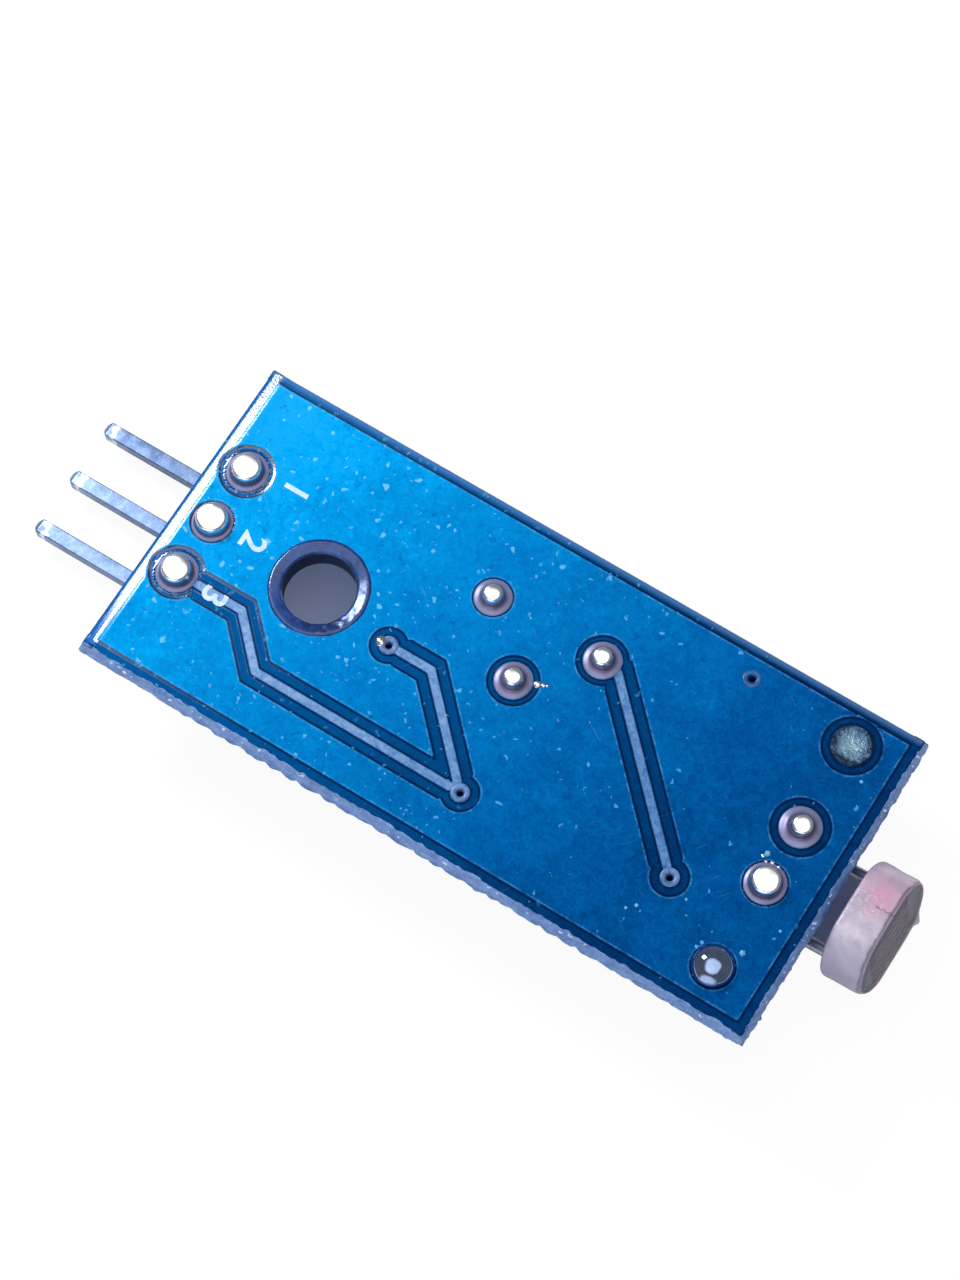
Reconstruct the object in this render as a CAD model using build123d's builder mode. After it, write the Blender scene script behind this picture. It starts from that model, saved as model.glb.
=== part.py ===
# A light-sensor board with a photoresistor at one end and a three-pin header at the other.
# It lies with its solder side up, resting on the face of its trimmer, as such a board does when turned over.
# X runs along the board from the header to the photoresistor, Y across it and Z up through the solder side.
# The origin is under the board's middle, on the trimmer's face. All sizes are in millimetres.

from build123d import *
from collections import namedtuple
import math
import os

# Laminate, scored along its edges and snapped from a panel
board_length = 30.5
board_width = 14.0
laminate_thickness = 1.2
score_depth = 0.36
score_angle = 17
copper_thickness = 0.035
plane_margin = 0.4

# Tracks, vias and the fixing hole
track_width = 0.37
track_gap = 0.48
thin_track_width = 0.3
via_pad_radius = 0.38
via_moat_radius = 0.78
via_drill_radius = 0.2
plating_thickness = 0.03
hole_radius = 1.525
hole_ring_radius = 2.0
hole_place = (-8.42, -0.05)

# Header with three square pins bent over its block
pin_pitch = 2.54
pin_side = 0.64
header_inset = 1.63
header_middle = 0.08
header_pad_radius = 0.85
header_moat_radius = 1.15
header_drill_radius = 0.5
block_height = 2.54
block_notch = 0.5
pin_bend_radius = 0.8
pin_drop = 3.65
pin_reach = 6.0
pin_tip_chamfer = 0.18
pin_stub = 0.5

# Trimmer
trimmer_place = (0.21, 1.94)
trimmer_height = 4.83
case_length = 6.6
case_width = 7.0
case_corner = 0.35
case_face = 0.8
foot_height = 0.3
foot_side = 1.1
chamber_radius = 2.65
ceramic_length = 5.9
ceramic_width = 6.2
ceramic_thickness = 0.6
base_thickness = 0.83
rotor_radius = 1.68
rotor_flange_radius = 2.5
rotor_flange_thickness = 0.9
rotor_recess = 0.15
running_gap = 0.06
slot_length = 2.7
slot_width = 0.55
slot_depth = 0.5
seal_radius = 2.0
seal_section = 0.2
seal_seat_depth = 0.35
wiper_thickness = 0.12
wiper_width = 0.8
wiper_gap = 0.04
film_thickness = 0.03
film_radius = 2.0
film_width = 0.5
film_sweep = 260
leg_radius = 0.25
leg_collar_radius = 0.38
leg_collar_thickness = 0.2
trimmer_pad_radius = 0.77
trimmer_moat_radius = 1.06
trimmer_drill_radius = 0.42
leg_stub = 0.42

# Photoresistor
sensor_inset = 2.41
sensor_middle = 0.06
sensor_pad_pitch = 2.65
sensor_pad_radius = 0.84
sensor_moat_radius = 1.2
sensor_drill_radius = 0.4
sensor_lead_radius = 0.25
sensor_lead_bend = 0.55
sensor_lead_pitch = 3.4
sensor_lead_stub = 0.4
head_clearance = 0.91
head_drop = 1.44
head_tilt = 6.5
head_radius = 2.4
head_height = 4.1
head_thickness = 1.55
head_film_thickness = 0.04
coat_thickness = 0.1
coat_corner = 0.24
film_line = 0.34
film_rows = 6
film_row_length = 2.9

# Spare pads beside the photoresistor's own
spare_pad_spread = 10.42
spare_pad_radius = 0.83

# Solder: each profile is a list of heights and radii, as shares of the joint's rise and of its foot's radius
solder_rise = 0.62
joint_profile = [(0.25, 0.74), (0.75, 0.5), (1.0, 0.3)]
ball_rise = 0.62
ball_profile = [(0.4, 0.95), (0.72, 0.76), (0.92, 0.46), (1.0, 0.15)]
fill_rise = 0.1
solder_film = 0.025
fill_sag = 0.08

# Small parts on the component side
comparator_place = (6.9, 0.6)
comparator_length = 4.9
comparator_width = 3.9
comparator_height = 1.45
comparator_lift = 0.12
comparator_taper = 7
comparator_span = 6.0
dot_inset = 0.8
dot_radius = 0.35
dot_depth = 0.1
leg_pitch = 1.27
leg_width = 0.4
leg_thickness = 0.2
foot_length = 0.6
chip_length = 1.6
chip_width = 0.8
chip_height = 0.45
chip_cap = 0.32
chip_cap_wrap = 0.02
chip_pad_length = 0.8
lamp_base_thickness = 0.3
lamp_lens_length = 1.1
lamp_lens_height = 0.45
lamp_contact = 0.22

# Round shapes up to this radius are drawn with flats, since they are too small to need more
flat_sided_radius = 1.3
pad_sides = 12
bore_radius = 0.6
bore_sides = 8
via_radius = 0.3
via_sides = 6
seal_sides = 24

# Levels, from the trimmer's face up to the solder side
seat = trimmer_height
component_copper = seat + solder_film
component_face = component_copper + copper_thickness
solder_face = component_face + laminate_thickness
copper_top = solder_face + copper_thickness

# The flat faces are smaller than the snapped edge by the score on each side
score_inset = score_depth * math.tan(math.radians(score_angle))
face_length = board_length - 2 * score_inset
face_width = board_width - 2 * score_inset
plane_length = face_length - 2 * plane_margin
plane_width = face_width - 2 * plane_margin

# Places of the pads: each is a point, a copper radius, a drill radius and the moat's radius, 0 in the ground plane
Pad = namedtuple("Pad", "place copper drill moat")
header_x = header_inset - board_length / 2
sensor_x = board_length / 2 - sensor_inset
header_sizes = (header_pad_radius, header_drill_radius)
trimmer_sizes = (trimmer_pad_radius, trimmer_drill_radius)
sensor_sizes = (sensor_pad_radius, sensor_drill_radius)
spare_sizes = (spare_pad_radius, sensor_drill_radius)

supply_pad = Pad((header_x, header_middle + pin_pitch), *header_sizes, header_moat_radius)
ground_pad = Pad((header_x, header_middle), *header_sizes, 0)
output_pad = Pad((header_x, header_middle - pin_pitch), *header_sizes, header_moat_radius)
trimmer_x, trimmer_y = trimmer_place
low_end_pad = Pad((trimmer_x - pin_pitch, trimmer_y + pin_pitch / 2), *trimmer_sizes, 0)
high_end_pad = Pad((trimmer_x + pin_pitch, trimmer_y + pin_pitch / 2), *trimmer_sizes, trimmer_moat_radius)
wiper_pad = Pad((trimmer_x, trimmer_y - pin_pitch / 2), *trimmer_sizes, trimmer_moat_radius)
signal_pad = Pad((sensor_x, sensor_middle + sensor_pad_pitch / 2), *sensor_sizes, sensor_moat_radius)
return_pad = Pad((sensor_x, sensor_middle - sensor_pad_pitch / 2), *sensor_sizes, 0)
spare_signal_pad = Pad((sensor_x, sensor_middle + spare_pad_spread / 2), *spare_sizes, sensor_moat_radius)
spare_ground_pad = Pad((sensor_x, sensor_middle - spare_pad_spread / 2), *spare_sizes, 0)

header_pads = [supply_pad, ground_pad, output_pad]
trimmer_pads = [low_end_pad, wiper_pad, high_end_pad]
sensor_pads = [signal_pad, return_pad]
spare_pads = [spare_signal_pad, spare_ground_pad]
pads = header_pads + trimmer_pads + sensor_pads + spare_pads
moated_pads = [pad for pad in pads if pad.moat]

# Places of the comparator's feet: column -1 is towards the trimmer, row -1.5 is the first foot
comparator_x, comparator_y = comparator_place
foot_reach = comparator_span / 2 - foot_length / 2


def foot_place(column, row):
    return (comparator_x + column * foot_reach, comparator_y + row * leg_pitch)


feet = [(column, row) for column in (-1, 1) for row in (-1.5, -0.5, 0.5, 1.5)]

# Vias
supply_via = (foot_place(1, 0)[0], comparator_y - 3.58)
output_via = (trimmer_x + 0.7, trimmer_y - 6.27)
lamp_via = (trimmer_x - 4.97, trimmer_y - 2.59)
ground_via = (comparator_x + 1.23, comparator_y + 5.03)
vias = [supply_via, output_via, lamp_via, ground_via]
moated_vias = [supply_via, output_via, lamp_via]

# Places of the chip parts, with the angle that each is turned by
Chip = namedtuple("Chip", "place angle")
sensor_resistor = Chip((supply_via[0] + 1.65, comparator_y - 1.75), 90)
output_resistor = Chip((trimmer_x - 4.7, trimmer_y - 0.45), 90)
output_lamp_resistor = Chip((trimmer_x - 3.8, trimmer_y - 5.6), 90)
power_lamp_resistor = Chip((hole_place[0] + 1.9, board_width / 2 - 2.0), 0)
supply_capacitor = Chip((supply_via[0] + 0.85, spare_ground_pad.place[1]), 0)
sensor_capacitor = Chip((supply_via[0] + 1.65, comparator_y + 2.5), 90)
power_lamp = Chip((hole_place[0] - 1.5, board_width / 2 - 2.0), 0)
output_lamp = Chip((hole_place[0] + 2.1, 2.05 - board_width / 2), 0)
resistors = {
    "sensor_resistor": sensor_resistor,
    "output_resistor": output_resistor,
    "output_lamp_resistor": output_lamp_resistor,
    "power_lamp_resistor": power_lamp_resistor,
}
capacitors = {"supply_capacitor": supply_capacitor, "sensor_capacitor": sensor_capacitor}
lamps = {"power_lamp": power_lamp, "output_lamp": output_lamp}
chips = [*resistors.values(), *capacitors.values(), *lamps.values()]


def chip_end(chip, side):
    reach = side * (chip_length - chip_cap) / 2
    turn = math.radians(chip.angle)
    return (chip.place[0] + reach * math.cos(turn), chip.place[1] + reach * math.sin(turn))


def diagonal(start, end):
    """Corners of a route that leaves start level and meets end on a 45 degree slope."""
    rise = abs(end[1] - start[1])
    step = rise if end[0] > start[0] else -rise
    return [start, (end[0] - step, start[1]), end]


def level_entry(start, end):
    """Corners of a route that leaves start on a 45 degree slope and meets end level."""
    return diagonal(end, start)[::-1]


# Tracks on the solder side
output_bend = (header_x + 3.1, output_pad.place[1])
output_route = [output_pad.place, *level_entry(output_bend, output_via)]
lamp_route = diagonal(lamp_via, output_via)
trimmer_route = diagonal(high_end_pad.place, supply_via)
solder_side_routes = [output_route, lamp_route, trimmer_route]

# Tracks on the component side, named by what they join
supply_lane = face_width / 2 - 0.6
supply_drop = trimmer_x - 3.76
ground_lane = header_x + 2.0
signal_lane = comparator_y
component_side_routes = [
    [supply_pad.place, (header_x, supply_lane), (trimmer_x + 4.0, supply_lane)],
    [high_end_pad.place, (trimmer_x + 4.0, high_end_pad.place[1] + 1.46), (trimmer_x + 4.0, supply_lane)],
    [(supply_drop, supply_lane), chip_end(output_lamp_resistor, 1)],
    [(supply_drop, chip_end(output_resistor, 1)[1]), chip_end(output_resistor, 1)],
    [(chip_end(power_lamp_resistor, 1)[0], supply_lane), chip_end(power_lamp_resistor, 1)],
    [chip_end(power_lamp_resistor, -1), chip_end(power_lamp, 1)],
    [chip_end(power_lamp, -1), (ground_lane, chip_end(power_lamp, -1)[1]), (ground_lane, header_middle),
     ground_pad.place],
    [lamp_via, chip_end(output_resistor, -1)],
    [lamp_via, (lamp_via[0], chip_end(output_lamp, 1)[1] + 1.1), (chip_end(output_lamp, -1)[0], lamp_via[1] - 2.2),
     chip_end(output_lamp, -1)],
    [chip_end(output_lamp_resistor, -1), chip_end(output_lamp, 1)],
    [foot_place(-1, -1.5), (foot_place(-1, 0)[0], output_via[1] + 1.4),
     (foot_place(-1, 0)[0] - 1.4, output_via[1]), output_via],
    [wiper_pad.place, foot_place(-1, -0.5)],
    [foot_place(-1, 0.5), (foot_place(-1, 0)[0] + 0.9, signal_lane), (sensor_x - 1.1, signal_lane),
     signal_pad.place],
    [foot_place(-1, 1.5), (foot_place(-1, 0)[0], ground_via[1] - 1.2),
     (foot_place(-1, 0)[0] + 1.2, ground_via[1]), ground_via],
    [foot_place(1, -1.5), supply_via],
    [supply_via, chip_end(sensor_resistor, -1)],
    [chip_end(sensor_resistor, 1), (sensor_resistor.place[0], signal_lane)],
    [supply_via, chip_end(supply_capacitor, -1)],
    [chip_end(supply_capacitor, 1), spare_ground_pad.place],
    [signal_pad.place, spare_signal_pad.place],
    [signal_pad.place, chip_end(sensor_capacitor, -1)],
    [chip_end(sensor_capacitor, 1), (sensor_capacitor.place[0], ground_via[1] - 0.9),
     (sensor_capacitor.place[0] - 0.9, ground_via[1]), ground_via],
]


def mitre(before, after, width):
    """How far a strip of a width runs past a bend, so that its outer corner meets the next strip's."""
    turn = math.radians(before.get_angle(after))
    return width / 2 * math.tan(turn / 2)


def stroke(route, width, mode=Mode.ADD):
    """Strips of one width along a route, mitred at its bends, in the sketch being drawn."""
    points = [Vector(*point) for point in route]
    runs = [end - start for start, end in zip(points, points[1:])]
    for index, run in enumerate(runs):
        along = run.normalized()
        start = points[index]
        end = points[index + 1]
        if index > 0:
            start -= along * mitre(runs[index - 1], run, width)
        if index < len(runs) - 1:
            end += along * mitre(run, runs[index + 1], width)
        with Locations((start + end) / 2):
            Rectangle((end - start).length, width, rotation=math.degrees(math.atan2(run.Y, run.X)), mode=mode)


def discs(places, radius, mode=Mode.ADD):
    """Round shapes of one radius, in the sketch being drawn."""
    with Locations(*places):
        if radius > flat_sided_radius:
            Circle(radius, mode=mode)
        elif radius > bore_radius:
            RegularPolygon(radius, pad_sides, major_radius=False, mode=mode)
        elif radius > via_radius:
            RegularPolygon(radius, bore_sides, major_radius=False, mode=mode)
        else:
            RegularPolygon(radius, via_sides, major_radius=False, mode=mode)


def drills(mode=Mode.SUBTRACT):
    """The drilled holes that are plated, in the sketch being drawn."""
    for pad in pads:
        discs([pad.place], pad.drill, mode)
    discs(vias, via_drill_radius, mode)


def chip_pads(mode=Mode.ADD):
    for chip in chips:
        for side in (-1, 1):
            with Locations(chip_end(chip, side)):
                Rectangle(chip_pad_length, chip_width, rotation=chip.angle, mode=mode)


def foot_pads(mode=Mode.ADD):
    for column, row in feet:
        with Locations(foot_place(column, row)):
            Rectangle(foot_length * 1.6, leg_width * 1.4, mode=mode)


def upright(place):
    """The plane of X and Z that stands on a place of the board, drawn in board heights."""
    return Plane(origin=(place[0], place[1], 0), x_dir=(1, 0, 0), z_dir=(0, -1, 0))


def narrowing(wide, narrow, height):
    """The taper that takes a radius from wide to narrow over a height."""
    return math.degrees(math.atan((wide - narrow) / height))


def solder_joint(pad, rise, profile):
    """Solder that fills a plated hole and climbs from its copper to a tip."""
    with BuildPart() as joint:
        with BuildSketch(Plane.XY.offset(component_copper)):
            discs([pad.place], pad.drill - plating_thickness)
        extrude(amount=copper_top - component_copper)
        with BuildSketch(Plane.XY.offset(copper_top)):
            discs([pad.place], pad.copper)
        height, radius = profile[0]
        extrude(amount=rise * height, taper=narrowing(pad.copper, pad.copper * radius, rise * height))
        for (low, wide), (high, narrow) in zip(profile, profile[1:]):
            step = rise * (high - low)
            top = joint.faces().sort_by(Axis.Z)[-1]
            extrude(top, amount=step, taper=narrowing(pad.copper * wide, pad.copper * narrow, step))
    return joint.part


# Laminate: a web as wide as the snapped edge, narrowing through each score to the faces
with BuildPart() as laminate:
    with BuildSketch(Plane.XY.offset(component_face + score_depth)):
        Rectangle(board_length, board_width)
    extrude(amount=laminate_thickness - 2 * score_depth)
    extrude(laminate.faces().sort_by(Axis.Z)[-1], amount=score_depth, taper=score_angle)
    extrude(laminate.faces().sort_by(Axis.Z)[0], amount=score_depth, taper=score_angle)
    with BuildSketch(Plane.XY.offset(component_face)):
        drills(Mode.ADD)
        discs([hole_place], hole_radius)
    extrude(amount=laminate_thickness, mode=Mode.SUBTRACT)

# Copper of the solder side
with BuildPart() as ground_plane:
    with BuildSketch(Plane.XY.offset(solder_face)):
        Rectangle(plane_length, plane_width)
        for pad in moated_pads:
            discs([pad.place], pad.moat, Mode.SUBTRACT)
        discs(moated_vias, via_moat_radius, Mode.SUBTRACT)
        discs([hole_place], hole_ring_radius, Mode.SUBTRACT)
        for route in solder_side_routes:
            stroke(route, track_width + 2 * track_gap, Mode.SUBTRACT)
        drills()
    extrude(amount=copper_thickness)

with BuildPart() as output_track:
    with BuildSketch(Plane.XY.offset(solder_face)):
        stroke(output_route, track_width)
        stroke(lamp_route, track_width)
        discs([output_pad.place], output_pad.copper)
        discs([output_via, lamp_via], via_pad_radius)
        drills()
    extrude(amount=copper_thickness)

with BuildPart() as trimmer_track:
    with BuildSketch(Plane.XY.offset(solder_face)):
        stroke(trimmer_route, track_width)
        discs([high_end_pad.place], high_end_pad.copper)
        discs([supply_via], via_pad_radius)
        drills()
    extrude(amount=copper_thickness)

with BuildPart() as solder_side_pads:
    with BuildSketch(Plane.XY.offset(solder_face)):
        for pad in (supply_pad, wiper_pad, signal_pad, spare_signal_pad):
            discs([pad.place], pad.copper)
        drills()
    extrude(amount=copper_thickness)

# Copper of the component side
with BuildPart() as component_side_tracks:
    with BuildSketch(Plane.XY.offset(component_copper)):
        for pad in pads:
            discs([pad.place], pad.copper)
        discs(vias, via_pad_radius)
        for route in component_side_routes:
            stroke(route, thin_track_width)
        chip_pads()
        foot_pads()
        drills()
    extrude(amount=copper_thickness)

# Plating of the drilled holes, from copper to copper
with BuildPart() as hole_plating:
    with BuildSketch(Plane.XY.offset(component_copper)):
        drills(Mode.ADD)
        for pad in pads:
            discs([pad.place], pad.drill - plating_thickness, Mode.SUBTRACT)
        discs(vias, via_drill_radius - plating_thickness, Mode.SUBTRACT)
    extrude(amount=copper_top - component_copper)

# Header: pins that stand in the board, go through the block and bend towards the board's edge
pin_axis = component_face - pin_drop
pin_tip = -board_length / 2 - pin_reach


def header_pin(pad):
    x, y = pad.place
    with BuildPart() as pin:
        with BuildLine() as route:
            FilletPolyline((x, y, copper_top + pin_stub), (x, y, pin_axis), (pin_tip, y, pin_axis),
                           radius=pin_bend_radius)
        with BuildSketch(Plane(origin=route.line @ 0, x_dir=(1, 0, 0), z_dir=route.line % 0)):
            Rectangle(pin_side, pin_side)
        sweep()
        chamfer(pin.faces().sort_by(Axis.X)[0].edges(), pin_tip_chamfer)
        chamfer(pin.faces().sort_by(Axis.Z)[-1].edges(), pin_tip_chamfer)
    return pin.part


header_pins = {f"header_pin_{number}": header_pin(pad) for number, pad in enumerate(header_pads, 1)}

with BuildPart() as header_block:
    with BuildSketch(Plane.XY.offset(seat)):
        with Locations(ground_pad.place):
            Rectangle(pin_pitch, pin_pitch * len(header_pads))
            with GridLocations(pin_pitch, pin_pitch, 2, len(header_pads) + 1):
                Rectangle(block_notch, block_notch, rotation=45, mode=Mode.SUBTRACT)
        with Locations(*[pad.place for pad in header_pads]):
            Rectangle(pin_side, pin_side, mode=Mode.SUBTRACT)
    extrude(amount=-block_height)

header_joints = [solder_joint(pad, solder_rise, joint_profile) for pad in header_pads]

with BuildPart() as header_solder:
    add(header_joints)
    for pin in header_pins.values():
        add(pin, mode=Mode.SUBTRACT)

# Trimmer, with its face on the ground and its feet against the board
ceramic_level = trimmer_height - foot_height - base_thickness - ceramic_thickness
flange_level = case_face + running_gap * 2

with BuildPart() as trimmer_case:
    with BuildSketch() as case_outline:
        with Locations(trimmer_place):
            Rectangle(case_length, case_width)
        chamfer(case_outline.vertices(), case_corner)
    extrude(amount=trimmer_height - foot_height)
    chamfer(trimmer_case.faces().sort_by(Axis.Z)[0].edges(), case_corner / 3)
    with BuildSketch(Plane.XY.offset(trimmer_height - foot_height)):
        with Locations(trimmer_place):
            with GridLocations(case_length - foot_side - case_corner, case_width - foot_side - case_corner, 2, 2):
                Rectangle(foot_side, foot_side)
    extrude(amount=foot_height)
    with BuildSketch(Plane.XY.offset(case_face)):
        discs([trimmer_place], chamber_radius)
    extrude(amount=trimmer_height - case_face, mode=Mode.SUBTRACT)
    with BuildSketch(Plane.XY.offset(ceramic_level)):
        with Locations(trimmer_place):
            Rectangle(ceramic_length, ceramic_width)
    extrude(amount=trimmer_height - ceramic_level, mode=Mode.SUBTRACT)
    with BuildSketch():
        discs([trimmer_place], rotor_radius + running_gap)
    extrude(amount=case_face, mode=Mode.SUBTRACT)
    with BuildSketch(Plane.XY.offset(case_face)):
        discs([trimmer_place], seal_radius + seal_section + running_gap)
    extrude(amount=-seal_seat_depth, mode=Mode.SUBTRACT)

with BuildPart() as trimmer_rotor:
    with BuildSketch(Plane.XY.offset(rotor_recess)):
        discs([trimmer_place], rotor_radius)
    extrude(amount=flange_level - rotor_recess)
    with BuildSketch(Plane.XY.offset(flange_level)):
        discs([trimmer_place], rotor_flange_radius)
    extrude(amount=rotor_flange_thickness)
    with BuildSketch(Plane.XY.offset(rotor_recess)):
        with Locations(trimmer_place):
            Rectangle(slot_length, slot_width)
            with Locations((slot_length / 2 - slot_width, 0)):
                RegularPolygon(slot_width, 3)
    extrude(amount=slot_depth, mode=Mode.SUBTRACT)

with BuildPart() as trimmer_seal:
    with BuildSketch(Plane.XY.offset(case_face - seal_seat_depth)):
        with Locations(trimmer_place):
            RegularPolygon(seal_radius + seal_section, seal_sides, major_radius=False)
            RegularPolygon(seal_radius - seal_section, seal_sides, major_radius=False, mode=Mode.SUBTRACT)
    extrude(amount=2 * seal_section)

# The wiper is a strip of spring metal under the rotor that bridges the resistive arc and the collector
wiper_root = flange_level + rotor_flange_thickness + wiper_thickness / 2
wiper_tip = ceramic_level - film_thickness - wiper_gap - wiper_thickness

with BuildPart() as trimmer_wiper:
    with BuildSketch(upright(trimmer_place)):
        with BuildLine():
            Polyline((-film_radius, wiper_tip), (-film_radius + 0.6, wiper_root), (film_radius - 0.6, wiper_root),
                     (film_width / 2, wiper_tip))
        trace(line_width=wiper_thickness)
    extrude(amount=wiper_width / 2, both=True)

with BuildPart() as trimmer_film:
    with BuildSketch(Plane.XY.offset(ceramic_level - film_thickness)):
        with BuildLine():
            CenterArc(trimmer_place, film_radius, -film_sweep / 2 + 180, film_sweep)
        trace(line_width=film_width)
        discs([trimmer_place], film_width)
    extrude(amount=film_thickness)

trimmer_leg_places = [pad.place for pad in trimmer_pads]

with BuildPart() as trimmer_ceramic:
    with BuildSketch(Plane.XY.offset(ceramic_level)):
        with Locations(trimmer_place):
            Rectangle(ceramic_length, ceramic_width)
        discs(trimmer_leg_places, leg_radius, Mode.SUBTRACT)
    extrude(amount=ceramic_thickness)


def trimmer_leg(pad):
    with BuildPart() as leg:
        with BuildSketch(Plane.XY.offset(ceramic_level)):
            discs([pad.place], leg_radius)
        extrude(amount=copper_top + leg_stub - ceramic_level)
        with BuildSketch(Plane.XY.offset(ceramic_level + ceramic_thickness)):
            discs([pad.place], leg_collar_radius)
        extrude(amount=leg_collar_thickness)
    return leg.part


trimmer_legs = {f"trimmer_leg_{number}": trimmer_leg(pad) for number, pad in enumerate(trimmer_pads, 1)}

with BuildPart() as trimmer_base:
    with BuildSketch(Plane.XY.offset(ceramic_level + ceramic_thickness)):
        with Locations(trimmer_place):
            Rectangle(ceramic_length, ceramic_width)
        discs(trimmer_leg_places, leg_radius, Mode.SUBTRACT)
    extrude(amount=base_thickness)
    with BuildSketch(Plane.XY.offset(ceramic_level + ceramic_thickness)):
        discs(trimmer_leg_places, leg_collar_radius)
    extrude(amount=leg_collar_thickness, mode=Mode.SUBTRACT)

trimmer_joints = [solder_joint(pad, solder_rise, joint_profile) for pad in trimmer_pads]

with BuildPart() as trimmer_solder:
    add(trimmer_joints)
    for leg in trimmer_legs.values():
        add(leg, mode=Mode.SUBTRACT)

# Photoresistor: a ceramic body tilted up on its two leads, past the end of the board
tilt = math.radians(head_tilt)
head_axis = Vector(math.cos(tilt), 0, math.sin(tilt))
head_back = Vector(board_length / 2 + head_clearance, sensor_middle, component_face - head_drop)


def head_plane(depth):
    """The plane across the photoresistor at a depth from its back, with its y upwards."""
    return Plane(origin=head_back + head_axis * depth, x_dir=(0, 1, 0), z_dir=head_axis)


def head_outline(growth=0.0):
    Circle(head_radius + growth)
    Rectangle(2 * (head_radius + growth), head_height + 2 * growth, mode=Mode.INTERSECT)


def sensor_lead(pad, side):
    x, y = pad.place
    entry = head_back + Vector(0, side * sensor_lead_pitch / 2, 0)
    outside = entry - head_axis * (2 * sensor_lead_bend)
    with BuildPart() as lead:
        with BuildLine() as route:
            FilletPolyline((x, y, copper_top + sensor_lead_stub), (x, y, outside.Z), outside,
                           entry + head_axis * head_thickness, radius=sensor_lead_bend)
        with BuildSketch(Plane(origin=route.line @ 0, z_dir=route.line % 0)):
            RegularPolygon(sensor_lead_radius, bore_sides)
        sweep()
    return lead.part


sensor_leads = {
    "sensor_lead_signal": sensor_lead(signal_pad, 1),
    "sensor_lead_ground": sensor_lead(return_pad, -1),
}

with BuildPart() as sensor_ceramic:
    with BuildSketch(head_plane(0)):
        head_outline()
    extrude(amount=head_thickness)
    for lead in sensor_leads.values():
        add(lead, mode=Mode.SUBTRACT)


def film_pattern():
    """The winding line of light-sensitive film, up and down between the two sides of the face."""
    row_step = (head_height - 4 * film_line) / (film_rows - 1)
    for row in range(film_rows):
        height = (row - (film_rows - 1) / 2) * row_step
        with Locations((0, height)):
            Rectangle(film_row_length, film_line)
        if row < film_rows - 1:
            side = 1 if row % 2 else -1
            with Locations((side * (film_row_length - film_line) / 2, height + row_step / 2)):
                Rectangle(film_line, row_step)


def film_ends():
    """The two short lines that take the film out to the face's edge."""
    end_height = head_height / 2 - film_line
    with Locations((film_row_length / 2 - film_line / 2, end_height), (film_line / 2 - film_row_length / 2, -end_height)):
        Rectangle(film_line, 2 * film_line)


with BuildPart() as sensor_film:
    with BuildSketch(head_plane(head_thickness)):
        film_pattern()
        film_ends()
        Circle(head_radius, mode=Mode.INTERSECT)
    extrude(amount=head_film_thickness)

with BuildPart() as sensor_electrodes:
    with BuildSketch(head_plane(head_thickness)):
        head_outline()
    extrude(amount=head_film_thickness)
    add(sensor_film.part, mode=Mode.SUBTRACT)

with BuildPart() as sensor_coat:
    with BuildSketch(head_plane(-coat_thickness)):
        head_outline(coat_thickness)
    extrude(amount=head_thickness + head_film_thickness + 2 * coat_thickness)
    chamfer(sensor_coat.faces().sort_by(Axis.X)[-1].edges(), coat_corner)
    chamfer(sensor_coat.faces().sort_by(Axis.X)[0].edges(), coat_corner / 3)
    with BuildSketch(head_plane(0)):
        head_outline()
    extrude(amount=head_thickness + head_film_thickness, mode=Mode.SUBTRACT)
    for lead in sensor_leads.values():
        add(lead, mode=Mode.SUBTRACT)

sensor_joints = [solder_joint(pad, solder_rise, joint_profile) for pad in sensor_pads]

with BuildPart() as sensor_solder:
    add(sensor_joints)
    for lead in sensor_leads.values():
        add(lead, mode=Mode.SUBTRACT)

# The spare pads: one carries a smooth ball of solder, the other is filled and sunk in the middle
solder_ball = solder_joint(spare_ground_pad, ball_rise, ball_profile)

filled_joint = solder_joint(spare_signal_pad, fill_rise, [(1.0, 0.85)])

with BuildPart() as spare_pad_fill:
    add(filled_joint)
    with BuildSketch(Plane.XY.offset(copper_top + fill_rise)):
        discs([spare_signal_pad.place], spare_pad_radius * 0.75)
    extrude(amount=-fill_sag, taper=narrowing(spare_pad_radius * 0.75, spare_pad_radius * 0.3, fill_sag),
            mode=Mode.SUBTRACT)

# Comparator in a moulded case with eight gull-wing legs
comparator_split = seat - comparator_lift - comparator_height / 2

with BuildPart() as comparator_body:
    with BuildSketch(Plane.XY.offset(comparator_split)):
        with Locations(comparator_place):
            Rectangle(comparator_width, comparator_length)
    extrude(amount=comparator_height / 2, taper=comparator_taper)
    extrude(comparator_body.faces().sort_by(Axis.Z)[0], amount=comparator_height / 2, taper=comparator_taper)
    with BuildSketch(Plane.XY.offset(seat - comparator_lift - comparator_height)):
        discs([(comparator_x - comparator_width / 2 + dot_inset, comparator_y - comparator_length / 2 + dot_inset)],
              dot_radius)
    extrude(amount=dot_depth, mode=Mode.SUBTRACT)


def leg_section(column, row):
    """Side view of a leg that leaves the case at its parting line and turns out to its foot on the board."""
    x, y = foot_place(column, row)
    wall = comparator_x + column * comparator_width / 2
    toe = comparator_x + column * comparator_span / 2
    heel = toe - column * foot_length
    level = comparator_split
    foot = seat - leg_thickness / 2
    with BuildSketch(Plane(origin=(0, y, 0), x_dir=(1, 0, 0), z_dir=(0, -1, 0))) as section:
        with BuildLine():
            Polyline((wall, level), (wall + column * 0.3, level), (heel, foot), (toe, foot))
        trace(line_width=leg_thickness)
    return section.sketch


with BuildPart() as comparator_legs:
    for column, row in feet:
        extrude(leg_section(column, row), amount=leg_width / 2, both=True)
    add(comparator_body.part, mode=Mode.SUBTRACT)

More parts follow.
